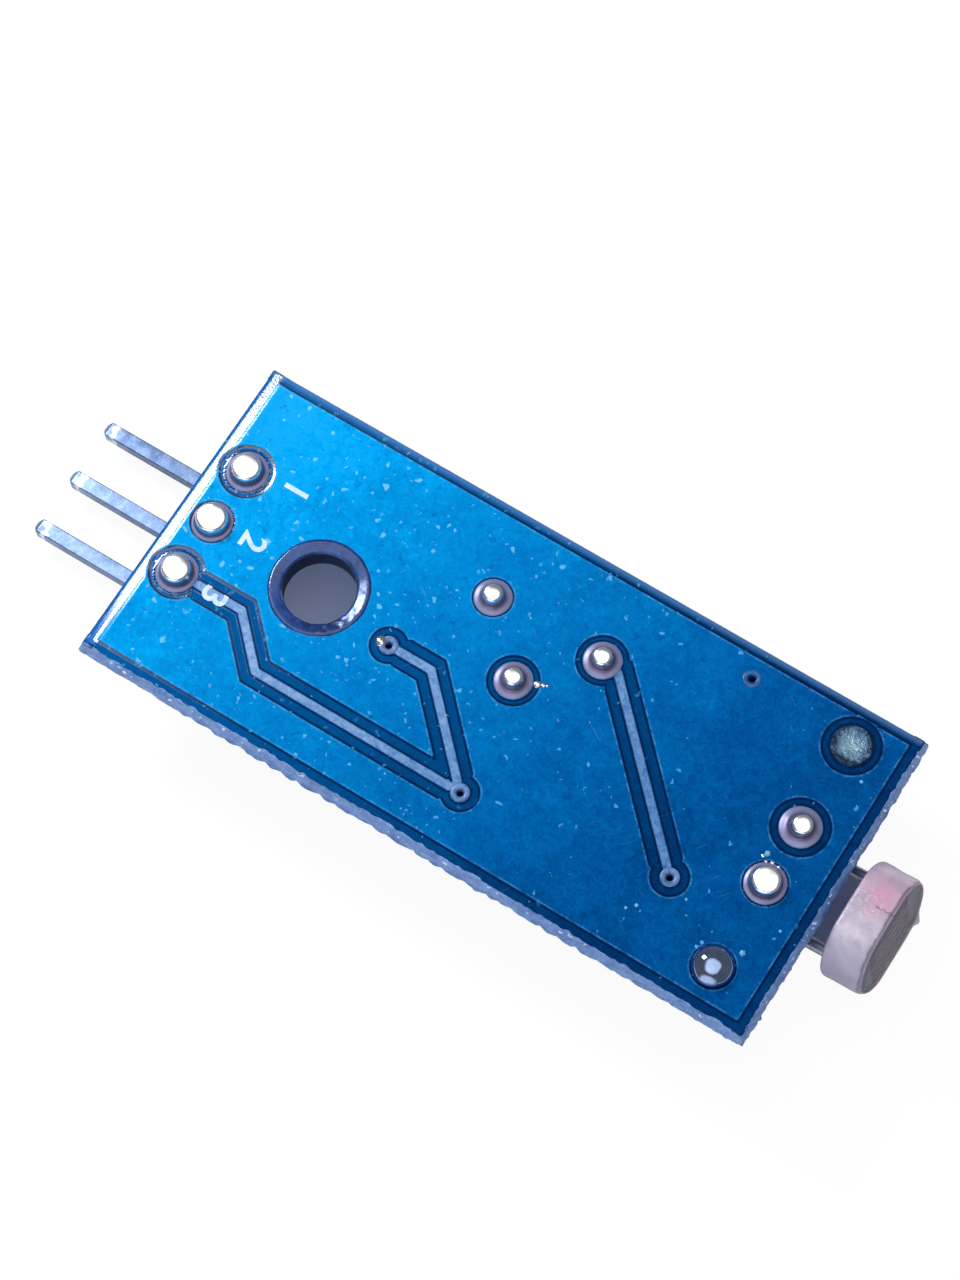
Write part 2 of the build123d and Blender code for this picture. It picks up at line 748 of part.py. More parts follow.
with BuildPart() as comparator_solder:
    with BuildSketch(Plane.XY.offset(component_copper)):
        for column, row in feet:
            with Locations(foot_place(column, row)):
                Rectangle(foot_length * 1.4, leg_width * 1.3)
    extrude(amount=-solder_film)


# Chip resistors and capacitors, each a body between two metal ends
def chip_plane(chip, height):
    turned = math.radians(chip.angle)
    return Plane(origin=(*chip.place, height), x_dir=(math.cos(turned), math.sin(turned), 0), z_dir=(0, 0, -1))


def chip_body(chip, height):
    with BuildPart() as body:
        with BuildSketch(chip_plane(chip, seat - chip_cap_wrap)):
            Rectangle(chip_length - 2 * chip_cap, chip_width)
        extrude(amount=height)
    return body.part


def chip_caps(chip, height):
    with BuildPart() as caps:
        with BuildSketch(chip_plane(chip, seat)):
            with Locations(*[(side * (chip_length - chip_cap) / 2, 0) for side in (-1, 1)]):
                Rectangle(chip_cap, chip_width + 2 * chip_cap_wrap)
        extrude(amount=height + 2 * chip_cap_wrap)
    return caps.part


chip_pieces = {}
for name, chip in resistors.items():
    chip_pieces[f"{name}_body"] = chip_body(chip, chip_height)
    chip_pieces[f"{name}_caps"] = chip_caps(chip, chip_height)
for name, chip in capacitors.items():
    chip_pieces[f"{name}_body"] = chip_body(chip, chip_width)
    chip_pieces[f"{name}_caps"] = chip_caps(chip, chip_width)


# Indicator lamps: a small base with plated ends under a clear moulded lens
def lamp_base(chip):
    with BuildPart() as base:
        with BuildSketch(chip_plane(chip, seat)):
            Rectangle(chip_length - 2 * lamp_contact, chip_width)
        extrude(amount=lamp_base_thickness)
    return base.part


def lamp_contacts(chip):
    with BuildPart() as contacts:
        with BuildSketch(chip_plane(chip, seat)):
            for side in (-1, 1):
                with Locations((side * (chip_length - lamp_contact) / 2, 0)):
                    Rectangle(lamp_contact, chip_width)
                discs([(side * chip_length / 2, 0)], lamp_contact * 0.8, Mode.SUBTRACT)
        extrude(amount=lamp_base_thickness)
    return contacts.part


def lamp_lens(chip):
    with BuildPart() as lens:
        with BuildSketch(chip_plane(chip, seat - lamp_base_thickness)):
            Rectangle(lamp_lens_length, chip_width)
        extrude(amount=lamp_lens_height, taper=8)
    return lens.part


for name, chip in lamps.items():
    chip_pieces[f"{name}_base"] = lamp_base(chip)
    chip_pieces[f"{name}_contacts"] = lamp_contacts(chip)
    chip_pieces[f"{name}_lens"] = lamp_lens(chip)

# Solder under and beside each chip's ends: a thin pad with a ramp up the end
with BuildPart() as chip_solder:
    for chip in chips:
        with BuildSketch(chip_plane(chip, component_copper)):
            for side in (-1, 1):
                with Locations((side * (chip_length - chip_cap) / 2, 0)):
                    Rectangle(chip_cap * 1.4, chip_width * 0.9)
        extrude(amount=solder_film)

pieces = {
    "laminate": laminate.part,
    "ground_plane": ground_plane.part,
    "output_track": output_track.part,
    "trimmer_track": trimmer_track.part,
    "solder_side_pads": solder_side_pads.part,
    "component_side_tracks": component_side_tracks.part,
    "hole_plating": hole_plating.part,
    **header_pins,
    "header_block": header_block.part,
    "header_solder": header_solder.part,
    "trimmer_case": trimmer_case.part,
    "trimmer_rotor": trimmer_rotor.part,
    "trimmer_seal": trimmer_seal.part,
    "trimmer_wiper": trimmer_wiper.part,
    "trimmer_film": trimmer_film.part,
    "trimmer_ceramic": trimmer_ceramic.part,
    **trimmer_legs,
    "trimmer_base": trimmer_base.part,
    "trimmer_solder": trimmer_solder.part,
    **sensor_leads,
    "sensor_ceramic": sensor_ceramic.part,
    "sensor_film": sensor_film.part,
    "sensor_electrodes": sensor_electrodes.part,
    "sensor_coat": sensor_coat.part,
    "sensor_solder": sensor_solder.part,
    "solder_ball": solder_ball,
    "spare_pad_fill": spare_pad_fill.part,
    "comparator_body": comparator_body.part,
    "comparator_legs": comparator_legs.part,
    "comparator_solder": comparator_solder.part,
    **chip_pieces,
    "chip_solder": chip_solder.part,
}

os.makedirs("parts", exist_ok=True)
for name, piece in pieces.items():
    piece.label = name
    export_step(piece, f"parts/{name}.step")
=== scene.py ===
# A light-sensor board, lying solder side up on the face of its trimmer, under soft studio light.
# Sizes are in millimetres and become metres through MM. X runs from the header to the photoresistor.

import bpy
import math
import random
import numpy as np
from mathutils import Matrix, Vector, noise
from mathutils.bvhtree import BVHTree


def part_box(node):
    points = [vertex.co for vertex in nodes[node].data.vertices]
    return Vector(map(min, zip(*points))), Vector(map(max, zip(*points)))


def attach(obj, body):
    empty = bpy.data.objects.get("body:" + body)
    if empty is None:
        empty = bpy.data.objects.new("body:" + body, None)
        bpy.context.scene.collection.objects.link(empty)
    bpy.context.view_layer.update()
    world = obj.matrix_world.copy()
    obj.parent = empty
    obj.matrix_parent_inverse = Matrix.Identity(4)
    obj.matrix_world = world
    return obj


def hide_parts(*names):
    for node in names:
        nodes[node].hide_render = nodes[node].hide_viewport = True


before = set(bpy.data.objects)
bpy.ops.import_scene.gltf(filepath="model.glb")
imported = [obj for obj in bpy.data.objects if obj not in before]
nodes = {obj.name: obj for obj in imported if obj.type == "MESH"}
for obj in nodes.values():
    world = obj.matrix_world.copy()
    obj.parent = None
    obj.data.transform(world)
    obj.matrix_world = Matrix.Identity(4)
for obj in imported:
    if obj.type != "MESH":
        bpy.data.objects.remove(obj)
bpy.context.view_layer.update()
MM = 0.001
random.seed(7)

# Levels and faces of the board, from the frame
laminate_low, laminate_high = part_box("laminate")
component_face = laminate_low.z / MM
solder_face = laminate_high.z / MM
copper_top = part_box("ground_plane")[1].z / MM
copper_thickness = copper_top - solder_face
score_inset = 0.11
face_length = (laminate_high.x - laminate_low.x) / MM - 2 * score_inset
face_width = (laminate_high.y - laminate_low.y) / MM - 2 * score_inset
hole_place = Vector((-8.42, -0.05))
hole_radius = 1.525

# Lacquer
lacquer_grid = 0.08
lacquer_thickness = 0.018
shoulder_width = 0.13
border_depth = 0.03

# The bead along the header's edge: its height, and where it starts, crests and ends, from that edge
bead_height = 0.065
bead_start = 0.1
bead_crest = 0.55
bead_end = 1.1

# How far the film laps over a soldered pad, and stays back from the fixing hole and from bare pads' holes
pad_lap = 0.05
bare_ring = 0.47
bare_land = 0.35

# How near the CAD copper's flats lie to the round pads and moats that they stand for, and a lip's reach
pad_facet = 0.07
moat_facet = 0.1
lip_reach = 0.3


# Working on pieces

def work_on(piece):
    """Makes one piece the only one selected, and the active one."""
    bpy.ops.object.select_all(action="DESELECT")
    piece.select_set(True)
    bpy.context.view_layer.objects.active = piece
    return piece


def newest(name):
    """The piece that was just added, named, with its place, turn and scale in its mesh."""
    piece = work_on(bpy.context.object)
    piece.name = name
    piece.data.name = name
    bpy.ops.object.transform_apply(location=True, rotation=True, scale=True)
    return piece


def edit(piece, action="SELECT"):
    """Opens a piece in edit mode with all of it selected, or none."""
    work_on(piece)
    bpy.ops.object.mode_set(mode="EDIT")
    bpy.ops.mesh.select_all(action=action)


def leave_edit():
    """Closes edit mode."""
    bpy.ops.object.mode_set(mode="OBJECT")


def merged(node, name):
    """A merged copy of a CAD node in flat faces, ready to be shaped."""
    piece = bpy.data.objects.new(name, nodes[node].data.copy())
    bpy.context.scene.collection.objects.link(piece)
    edit(piece)
    bpy.ops.mesh.remove_doubles(threshold=0.001 * MM)
    bpy.ops.mesh.dissolve_limited(angle_limit=math.radians(0.5))
    leave_edit()
    return piece


def soften(piece, width):
    """Rounds the edges that turn by more than an angle, as moulding, plating or tumbling leaves them."""
    least_turn = math.radians(35)
    work_on(piece)
    rounding = piece.modifiers.new("rounding", "BEVEL")
    rounding.width = width * MM
    rounding.segments = 2
    rounding.limit_method = "ANGLE"
    rounding.angle_limit = least_turn
    bpy.ops.object.modifier_apply(modifier=rounding.name)
    bpy.ops.object.shade_smooth_by_angle(angle=least_turn)
    flats = piece.modifiers.new("flats", "WEIGHTED_NORMAL")
    flats.keep_sharp = True
    bpy.ops.object.modifier_apply(modifier=flats.name)
    return piece


def join(pieces, name):
    """One piece made of several, named."""
    bpy.ops.object.select_all(action="DESELECT")
    for piece in pieces:
        piece.select_set(True)
    bpy.context.view_layer.objects.active = pieces[0]
    bpy.ops.object.join()
    return newest(name)


def drawn_line(points):
    """A line of edges through points, extruded from a single point and left open for editing."""
    bpy.ops.mesh.primitive_plane_add(size=MM, location=(0, 0, 0))
    edit(work_on(bpy.context.object))
    bpy.ops.mesh.merge(type="CENTER")
    bpy.ops.transform.translate(value=Vector(points[0]) * MM)
    for start, end in zip(points, points[1:]):
        step = (Vector(end) - Vector(start)) * MM
        bpy.ops.mesh.extrude_region_move(TRANSFORM_OT_translate={"value": step})


def turned(name, profile, steps=24, rounds=2):
    """A round piece: a line of radii and heights, spun about the upright axis."""
    drawn_line([(radius, 0, height) for radius, height in profile])
    bpy.ops.mesh.select_all(action="SELECT")
    bpy.ops.mesh.spin(steps=steps, angle=math.tau, center=(0, 0, 0), axis=(0, 0, 1))
    bpy.ops.mesh.select_all(action="SELECT")
    bpy.ops.mesh.remove_doubles(threshold=0.001 * MM)
    bpy.ops.mesh.normals_make_consistent(inside=False)
    leave_edit()
    smooth(bpy.context.object, rounds)
    return newest(name)


def arc_corner(before, corner, after, radius):
    """Points of the arc that rounds one corner of a wire."""
    steps = 8
    arriving = (corner - before).normalized()
    leaving = (after - corner).normalized()
    turn = arriving.angle(leaving)
    reach = radius * math.tan(turn / 2)
    start = corner - arriving * reach
    inward = (leaving - arriving * arriving.dot(leaving)).normalized()
    centre = start + inward * radius
    points = []
    for step in range(steps + 1):
        angle = turn * step / steps
        spoke = arriving * math.sin(angle) - inward * math.cos(angle)
        points.append(centre + spoke * radius)
    return points


def wire(name, corners, bend, radius):
    """A round wire through corners, each turned on the same bend radius, with closed ends."""
    points = [corners[0]]
    for before, corner, after in zip(corners, corners[1:], corners[2:]):
        points.extend(arc_corner(before, corner, after, bend))
    drawn_line(points + [corners[-1]])
    leave_edit()
    bpy.ops.object.convert(target="CURVE")
    core = bpy.context.object.data
    core.bevel_depth = radius * MM
    core.bevel_resolution = 4
    core.use_fill_caps = True
    bpy.ops.object.convert(target="MESH")
    bpy.ops.object.shade_smooth_by_angle(angle=math.radians(50))
    return newest(name)


def wrapped(name, rows, columns, place):
    """A skin of rows of points, folded round from a flat grid and merged where its ends meet."""
    bpy.ops.mesh.primitive_grid_add(x_subdivisions=columns - 1, y_subdivisions=rows - 1, size=MM)
    skin = newest(name)
    for row in range(rows):
        for column in range(columns):
            skin.data.vertices[row * columns + column].co = place(row, column) * MM
    edit(skin)
    bpy.ops.mesh.remove_doubles(threshold=0.002 * MM)
    bpy.ops.mesh.normals_make_consistent(inside=False)
    leave_edit()
    bpy.ops.object.shade_smooth()
    return skin


def scattered(piece, places, name):
    """Copies of one piece, each with its own mesh put in place by a matrix, joined into one."""
    copies = []
    for place in places:
        copy = piece.copy()
        copy.data = piece.data.copy()
        copy.data.transform(place)
        bpy.context.scene.collection.objects.link(copy)
        copies.append(copy)
    bpy.data.objects.remove(piece)
    return join(copies, name)


def smooth(piece, rounds):
    """Smooths a piece's shading, and its form by some rounds of subdivision."""
    work_on(piece)
    if rounds:
        curves = piece.modifiers.new("curves", "SUBSURF")
        curves.levels = rounds
        curves.render_levels = rounds
        bpy.ops.object.modifier_apply(modifier=curves.name)
    bpy.ops.object.shade_smooth()


def roughen(piece, size, depth, seed, keep=lambda point: 1.0):
    """Moves each point along its normal by a noise of a real size and depth, less where keep is under 1."""
    shift = Vector((seed * 7.3, seed * 3.1, seed * 5.7))
    moves = []
    for vertex in piece.data.vertices:
        point = vertex.co / MM
        moves.append(vertex.normal * noise.noise(point / size + shift) * depth * keep(point) * MM)
    for vertex, move in zip(piece.data.vertices, moves):
        vertex.co += move
    return piece


def solids_of(node):
    """The lowest and highest corner of each separate solid of a CAD node, in millimetres, by X."""
    edit(merged(node, "solids"))
    bpy.ops.mesh.separate(type="LOOSE")
    leave_edit()
    solids = list(bpy.context.selected_objects)
    corners = []
    for solid in solids:
        points = np.array([vertex.co for vertex in solid.data.vertices]) / MM
        corners.append((Vector(points.min(0)), Vector(points.max(0))))
    for solid in solids:
        bpy.data.objects.remove(solid)
    return sorted(corners, key=lambda pair: tuple(pair[0]))


def dress(piece, material, body="board", replaced=()):
    """Gives a piece its finish and its body, and hides the CAD nodes that it stands for."""
    piece.data.materials.clear()
    piece.data.materials.append(material)
    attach(piece, body)
    if replaced:
        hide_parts(*replaced)
    return piece


def repaint(node, material):
    """Gives a CAD node that stays in view its finish."""
    node_slots = nodes[node].material_slots
    if node_slots:
        for node_slot in node_slots:
            node_slot.material = material
    else:
        nodes[node].data.materials.append(material)


# Materials

# A Mix node that mixes colours: its settings, and the output that gives the colour
colour_mix = {"output": 2, "data_type": "RGBA"}


def linear(code):
    """An sRGB hex colour as a linear one."""
    shares = [int(code[start:start + 2], 16) / 255 for start in (1, 3, 5)]
    shares = [share / 12.92 if share <= 0.04045 else ((share + 0.055) / 1.055) ** 2.4 for share in shares]
    return (*shares, 1.0)


def add_node(tree, kind, inputs=(), output=0, stops=(), **settings):
    """Adds a node with its settings and its colour stops, links or sets its inputs, and gives one output."""
    node = tree.nodes.new("ShaderNode" + kind)
    for name, value in settings.items():
        setattr(node, name, value)
    for name, value in inputs.items() if isinstance(inputs, dict) else enumerate(inputs):
        if isinstance(value, bpy.types.NodeSocket):
            tree.links.new(value, node.inputs[name])
        else:
            node.inputs[name].default_value = linear(value) if isinstance(value, str) else value
    if stops:
        ramp = node.color_ramp.elements
        ramp.remove(ramp[1])
        ramp[0].position = stops[0][0]
        ramp[0].color = linear(stops[0][1])
        for position, colour in stops[1:]:
            ramp.new(position).color = linear(colour)
    return node.outputs[output]


def new_material(name, **values):
    """A material, its node tree, its shader with plain values set, and its object coordinates in mm."""
    material = bpy.data.materials.new(name)
    material.use_nodes = True
    tree = material.node_tree
    shader = tree.nodes["Principled BSDF"]
    for socket, value in values.items():
        shader.inputs[socket.replace("_", " ").title().replace("Ior", "IOR")].default_value = value
    place = add_node(tree, "TexCoord", output="Object")
    spot = add_node(tree, "Mapping", {"Vector": place, "Scale": (1 / MM, 1 / MM, 1 / MM)})
    return material, tree, shader, spot


def grained(name, light, dark, grain, relief=0.0, **values):
    """A material in two close colours, patched at a real size, with a relief of a real height in mm."""
    material, tree, shader, spot = new_material(name, **values)
    fine = {"Vector": spot, "Scale": 1 / grain, "Detail": 5.0, "Roughness": 0.6}
    grains = add_node(tree, "TexNoise", fine)
    clouds = add_node(tree, "TexNoise", {"Vector": spot, "Scale": 0.2 / grain, "Detail": 2.0})
    both = add_node(tree, "Math", [grains, clouds], operation="ADD")
    share = add_node(tree, "MapRange", [both, 0.7, 1.3])
    tone = add_node(tree, "Mix", {0: share, 6: dark, 7: light}, **colour_mix)
    tree.links.new(tone, shader.inputs["Base Color"])
    middle = shader.inputs["Roughness"].default_value
    gloss = add_node(tree, "MapRange", [clouds, 0.3, 0.7, middle - gloss_spread, middle + gloss_spread])
    tree.links.new(gloss, shader.inputs["Roughness"])
    if relief:
        bump = add_node(tree, "Bump", {"Height": grains, "Strength": 1.0, "Distance": relief * MM})
        tree.links.new(bump, shader.inputs["Normal"])
    return material


def lacquer_chips(tree, spot, warped, film_thinness_and_light, size, amount):
    """How far a spot is in one of the small ragged places where the film is chipped or flawed."""
    cells = add_node(tree, "TexVoronoi", {"Vector": warped, "Scale": 1 / size, "Randomness": 1.0})
    drawn = add_node(tree, "SeparateColor", [cells.node.outputs["Color"]]).node.outputs
    size_drawn = add_node(tree, "Math", [drawn[1], 0.3], operation="MULTIPLY")
    reach = add_node(tree, "Math", [size_drawn, cells], operation="SUBTRACT")
    chip = add_node(tree, "MapRange", [reach, 0.0, 0.07])
    drifts = add_node(tree, "TexNoise", {"Vector": spot, "Scale": 0.3, "Detail": 2.0})
    wear = add_node(tree, "Math", [drifts, film_thinness_and_light], operation="ADD")
    chance = add_node(tree, "MapRange", [wear, 0.55, 1.25, 0.0, amount])
    chosen = add_node(tree, "Math", [drawn[0], chance], operation="LESS_THAN")
    return add_node(tree, "Math", [chip, chosen], operation="MULTIPLY")


def blue_lacquer():
    """Photo-imaged epoxy lacquer, screened over bright copper: a clear deep blue that is brightest over the
    copper, navy over bare laminate, mottled where it flowed, with a painted pale highlight inside each
    copper edge and painted navy shade just outside it, and glossy. It is painted paler towards the header's
    end, partly as thinner film and mostly as the lamp's light falling off, and its tracks are painted pale
    as the sky's reflection. Its glare is blue, since most of it comes back from the copper, and white only
    on the bead along the header's edge and on the shoulders of the film there."""
    material, tree, shader, spot = new_material("blue epoxy lacquer")
    plane, track, bead = [add_node(tree, "Attribute", output="Fac", attribute_name=name)
                          for name in ("plane_edge", "track_edge", "bead")]
    across = add_node(tree, "SeparateXYZ", [spot], "Y")

    # Paler towards the header's end and the power lamp's side: partly thinner film, mostly painted lamp
    # light falloff
    thinning_and_light_way = (-thinning_and_light_slope, 0.014, 0)
    slope = add_node(tree, "VectorMath", {0: spot, 1: thinning_and_light_way}, "Value", operation="DOT_PRODUCT")
    film_thinness_and_light = add_node(tree, "MapRange", [slope, -0.32, 0.56, 0.12, 1.0])

    # Mottling: clouds of 2 mm, flow marks of 0.3 mm between them, and a fine grain of 0.1 mm
    warp = add_node(tree, "TexNoise", {"Vector": spot, "Scale": 2.4, "Detail": 3.0}, "Color")
    flow = {0: warp, 1: (0.55, 0.55, 0.55), 2: spot}
    warped = add_node(tree, "VectorMath", flow, operation="MULTIPLY_ADD")
    clouds = add_node(tree, "TexNoise", {"Vector": spot, "Scale": 0.5, "Detail": 4.0, "Roughness": 0.6})
    marks = add_node(tree, "TexNoise", {"Vector": warped, "Scale": 3.2, "Detail": 6.0, "Roughness": 0.7,
                                        "Distortion": 0.6})
    grain = add_node(tree, "TexNoise", {"Vector": warped, "Scale": 11.0, "Detail": 2.0})
    tone = add_node(tree, "Math", [film_thinness_and_light, 0.69], operation="SUBTRACT")
    for pattern, amount in ((clouds, 0.4), (marks, 0.66), (grain, 0.3)):
        tone = add_node(tree, "Math", [pattern, amount, tone], operation="MULTIPLY_ADD")
    over_copper = add_node(tree, "ValToRGB", [tone], stops=(
        (0.0, "#004585"), (0.15, "#00569c"), (0.3, "#0066b0"), (0.5, "#007bc6"), (0.75, "#0094e0"),
        (0.9, "#00a9f8"), (1.0, "#14acfa")))

    # Colours that pale with thinner film and with the painted lamp light: over bare laminate, on tracks, on
    # their streaks, and in chips
    film, track_reflection, streaked_track_reflection, chip_and_glint_blue = [
        add_node(tree, "Mix", {0: share, 6: thick, 7: thin}, **colour_mix)
        for share, thick, thin in ((tone, "#002b5c", "#0060a6"), (film_thinness_and_light, "#2d62a3", "#6b9ad6"),
                                   (film_thinness_and_light, "#5c8fca", "#a3c4ee"), (film_thinness_and_light, "#2fa2e8", "#86d8ff"))]

    # Copper under the film, with a painted highlight as a pale line inside its edge, and painted shade as a
    # navy line just outside it
    inside = add_node(tree, "Math", [plane, 0.05, 0.035], operation="COMPARE")
    edge_highlight_share = add_node(tree, "MapRange", [marks, 0.42, 0.62, 0.02, 0.3])
    layers = [(add_node(tree, "MapRange", [plane, -0.02, 0.03]), over_copper),
              (add_node(tree, "Math", [inside, edge_highlight_share], operation="MULTIPLY"), "#6cc4ff")]
    shifted = add_node(tree, "Math", [plane, 0.035], operation="ADD")
    outside = add_node(tree, "Math", [shifted], operation="ABSOLUTE")
    layers.append((add_node(tree, "MapRange", [outside, 0.015, 0.075, 0.9, 0.0]), "#00183c"))

    # The board's far border is paler
    layers.append((add_node(tree, "MapRange", [across, 6.62, 6.9, 0.0, 0.75]), "#5f8fcc"))

    # Tracks: painted pale as the sky's reflection on their rounded tops, paler in streaks
    streaks = add_node(tree, "MapRange", [marks, 0.35, 0.6])
    painted_track_reflection = add_node(tree, "Mix", {0: streaks, 6: track_reflection, 7: streaked_track_reflection}, **colour_mix)
    layers.append((add_node(tree, "MapRange", [track, -0.01, 0.05]), painted_track_reflection))
    # Painted shade: a navy line just outside each track's edge
    shifted = add_node(tree, "Math", [track, 0.03], operation="ADD")
    outside = add_node(tree, "Math", [shifted], operation="ABSOLUTE")
    layers.append((add_node(tree, "MapRange", [outside, 0.01, 0.05, 0.8, 0.0]), "#00183c"))

    # Small ragged chips, pale partly as painted glints and more often towards the header's end, flaws that
    # show dark, and a few hair scratches
    chips = lacquer_chips(tree, spot, warped, film_thinness_and_light, size=0.44, amount=0.75)
    specks = lacquer_chips(tree, spot, warped, film_thinness_and_light, size=0.26, amount=0.5)
    on_copper = add_node(tree, "MapRange", [plane, 0.05, 0.12, 0.25, 1.0])
    pale = add_node(tree, "Math", [chips, on_copper], operation="MULTIPLY")
    blotches = add_node(tree, "TexNoise", {"Vector": warped, "Scale": 1.9, "Detail": 5.0, "Roughness": 0.75})
    flaws = add_node(tree, "MapRange", [blotches, 0.4, 0.32, 0.0, 0.5])
    for first, second, colour in ((pale, 0.8, chip_and_glint_blue), (specks, 0.4, "#7cc9f5"),
                                  (flaws, on_copper, "#00427f")):
        layers.append((add_node(tree, "Math", [first, second], operation="MULTIPLY"), colour))
    for turn, seed in ((0.6, 3.0), (-0.9, 11.0)):
        line = {"Vector": spot, "Rotation": (0, 0, turn), "Location": (seed, seed, 0)}
        drawn_out = add_node(tree, "Mapping", {0: add_node(tree, "Mapping", line), "Scale": (0.4, 5.0, 1.0)})
        scratch = add_node(tree, "TexNoise", {"Vector": drawn_out, "Detail": 2.0, "Scale": 1.0})
        layers.append((add_node(tree, "MapRange", [scratch, 0.72, 0.77, 0.0, 0.12]), "#6fc2f2"))
    for share, colour in layers:
        film = add_node(tree, "Mix", {0: share, 6: film, 7: colour}, **colour_mix)
    tree.links.new(film, shader.inputs["Base Color"])

    # Orange peel of 0.6 mm with the chips standing up; the bead and the shoulders by the header shine white
    peel = add_node(tree, "TexNoise", {"Vector": spot, "Scale": 1.6, "Detail": 1.0})
    peel = add_node(tree, "Math", [peel, grain], operation="ADD")
    relief = add_node(tree, "Math", [chips, 0.35, peel], operation="MULTIPLY_ADD")
    bump = add_node(tree, "Bump", {"Height": relief, "Strength": 0.8, "Distance": 0.006 * MM})
    tree.links.new(bump, shader.inputs["Normal"])
    shoulder = add_node(tree, "Math", [plane, -0.06, 0.06], operation="COMPARE")
    by_header = add_node(tree, "MapRange", [film_thinness_and_light, 0.6, 0.85])
    shine = add_node(tree, "Math", [shoulder, by_header], operation="MULTIPLY")
    shine = add_node(tree, "Math", [shine, bead], operation="MAXIMUM")
    for socket, plain, shining in (("Roughness", 0.2, 0.16), ("Specular IOR Level", 0.3, 1.0)):
        tree.links.new(add_node(tree, "MapRange", [shine, 0.0, 1.0, plain, shining]), shader.inputs[socket])
    glare = add_node(tree, "Mix", {0: shine, 6: "#1a66d8", 7: "#ffffff"}, **colour_mix)
    tree.links.new(glare, shader.inputs["Specular Tint"])
    return material


def joint_solder():
    """Tin solder frozen round a lead, its tone and its shine going by its height: mirror bright on top with
    a near-white painted highlight, painted grey shade on the cone, and a satin lilac skirt of plating round
    it."""
    material, tree, shader, spot = new_material("solder joint")
    height = add_node(tree, "SeparateXYZ", [spot], "Z")
    lumps = add_node(tree, "TexNoise", {"Vector": spot, "Scale": 3.0, "Detail": 1.0})
    climb = add_node(tree, "MapRange", [height, copper_top, copper_top + joint_height, -0.06, 0.94])
    level = add_node(tree, "Math", [lumps, 0.12, climb], operation="MULTIPLY_ADD")
    # Painted highlight on the top and painted shade on the cone, by height
    tone = add_node(tree, "ValToRGB", [level], stops=(
        (0.08, "#8b90bd"), (0.17, "#7c799f"), (0.3, "#6d6880"), (0.55, "#a5a1b0"), (0.74, "#f8f9fd")))
    tree.links.new(tone, shader.inputs["Base Color"])
    metal = add_node(tree, "MapRange", [level, 0.15, 0.6, 0.35, 1.0])
    tree.links.new(metal, shader.inputs["Metallic"])
    gloss = add_node(tree, "MapRange", [level, 0.1, 0.8, 0.36, 0.22])
    tree.links.new(gloss, shader.inputs["Roughness"])
    bump = add_node(tree, "Bump", {"Height": lumps, "Distance": 0.004 * MM})
    tree.links.new(bump, shader.inputs["Normal"])
    return material


def pin_plating():
    """Tin plate on drawn brass pins: a satin steel blue with dents and drawn marks, and a painted highlight
    near each tip.
    """
    material = grained("tin plate on brass pins", "#7a91b8", "#4a6288", 0.4, relief=0.006, metallic=0.65,
                       roughness=0.28)
    tree = material.node_tree
    shader = tree.nodes["Principled BSDF"]
    spot = tree.nodes["Mapping"].outputs[0]
    # Painted highlight: a ragged pale band across the pins near their tips
    dents = add_node(tree, "TexNoise", {"Vector": spot, "Scale": 2.5, "Detail": 2.0})
    along = add_node(tree, "SeparateXYZ", [spot], "X")
    ragged = add_node(tree, "Math", [dents, 0.9, along], operation="MULTIPLY_ADD")
    apart = add_node(tree, "Math", [ragged, pin_highlight_row], operation="SUBTRACT")
    apart = add_node(tree, "Math", [apart], operation="ABSOLUTE")
    near = add_node(tree, "MapRange", [apart, 0.05, 0.17, 0.8, 0.0])
    drawn = shader.inputs["Base Color"].links[0].from_socket
    bright = add_node(tree, "Mix", {0: near, 6: drawn, 7: "#eaf1ff"}, **colour_mix)
    tree.links.new(bright, shader.inputs["Base Color"])
    return material


def flux_pool():
    """Solder that filled a pad and sank: a dark blue ring of flux by the pad's lip, and a flecked grey-green
    middle that catches the light on its wrinkles."""
    material, tree, shader, spot = new_material("dull solder with flux", metallic=0.5, roughness=0.3)
    middle = (*fill_place, copper_top)
    reach = add_node(tree, "VectorMath", {0: spot, 1: middle}, "Value", operation="DISTANCE")
    wrinkles = add_node(tree, "TexNoise", {"Vector": spot, "Scale": 3.4, "Detail": 4.0, "Roughness": 0.6})
    level = add_node(tree, "Math", [wrinkles, 0.9, reach], operation="MULTIPLY_ADD")
    share = add_node(tree, "Math", [level, 0.75], operation="MULTIPLY")
    tone = add_node(tree, "ValToRGB", [share], stops=(
        (0.4, "#93b4c8"), (0.6, "#6b8ea8"), (0.8, "#4f708e"), (0.9, "#2a4468"), (0.97, "#14284c")))
    tree.links.new(tone, shader.inputs["Base Color"])
    bump = add_node(tree, "Bump", {"Height": wrinkles, "Distance": 0.12 * MM})
    tree.links.new(bump, shader.inputs["Normal"])
    return material


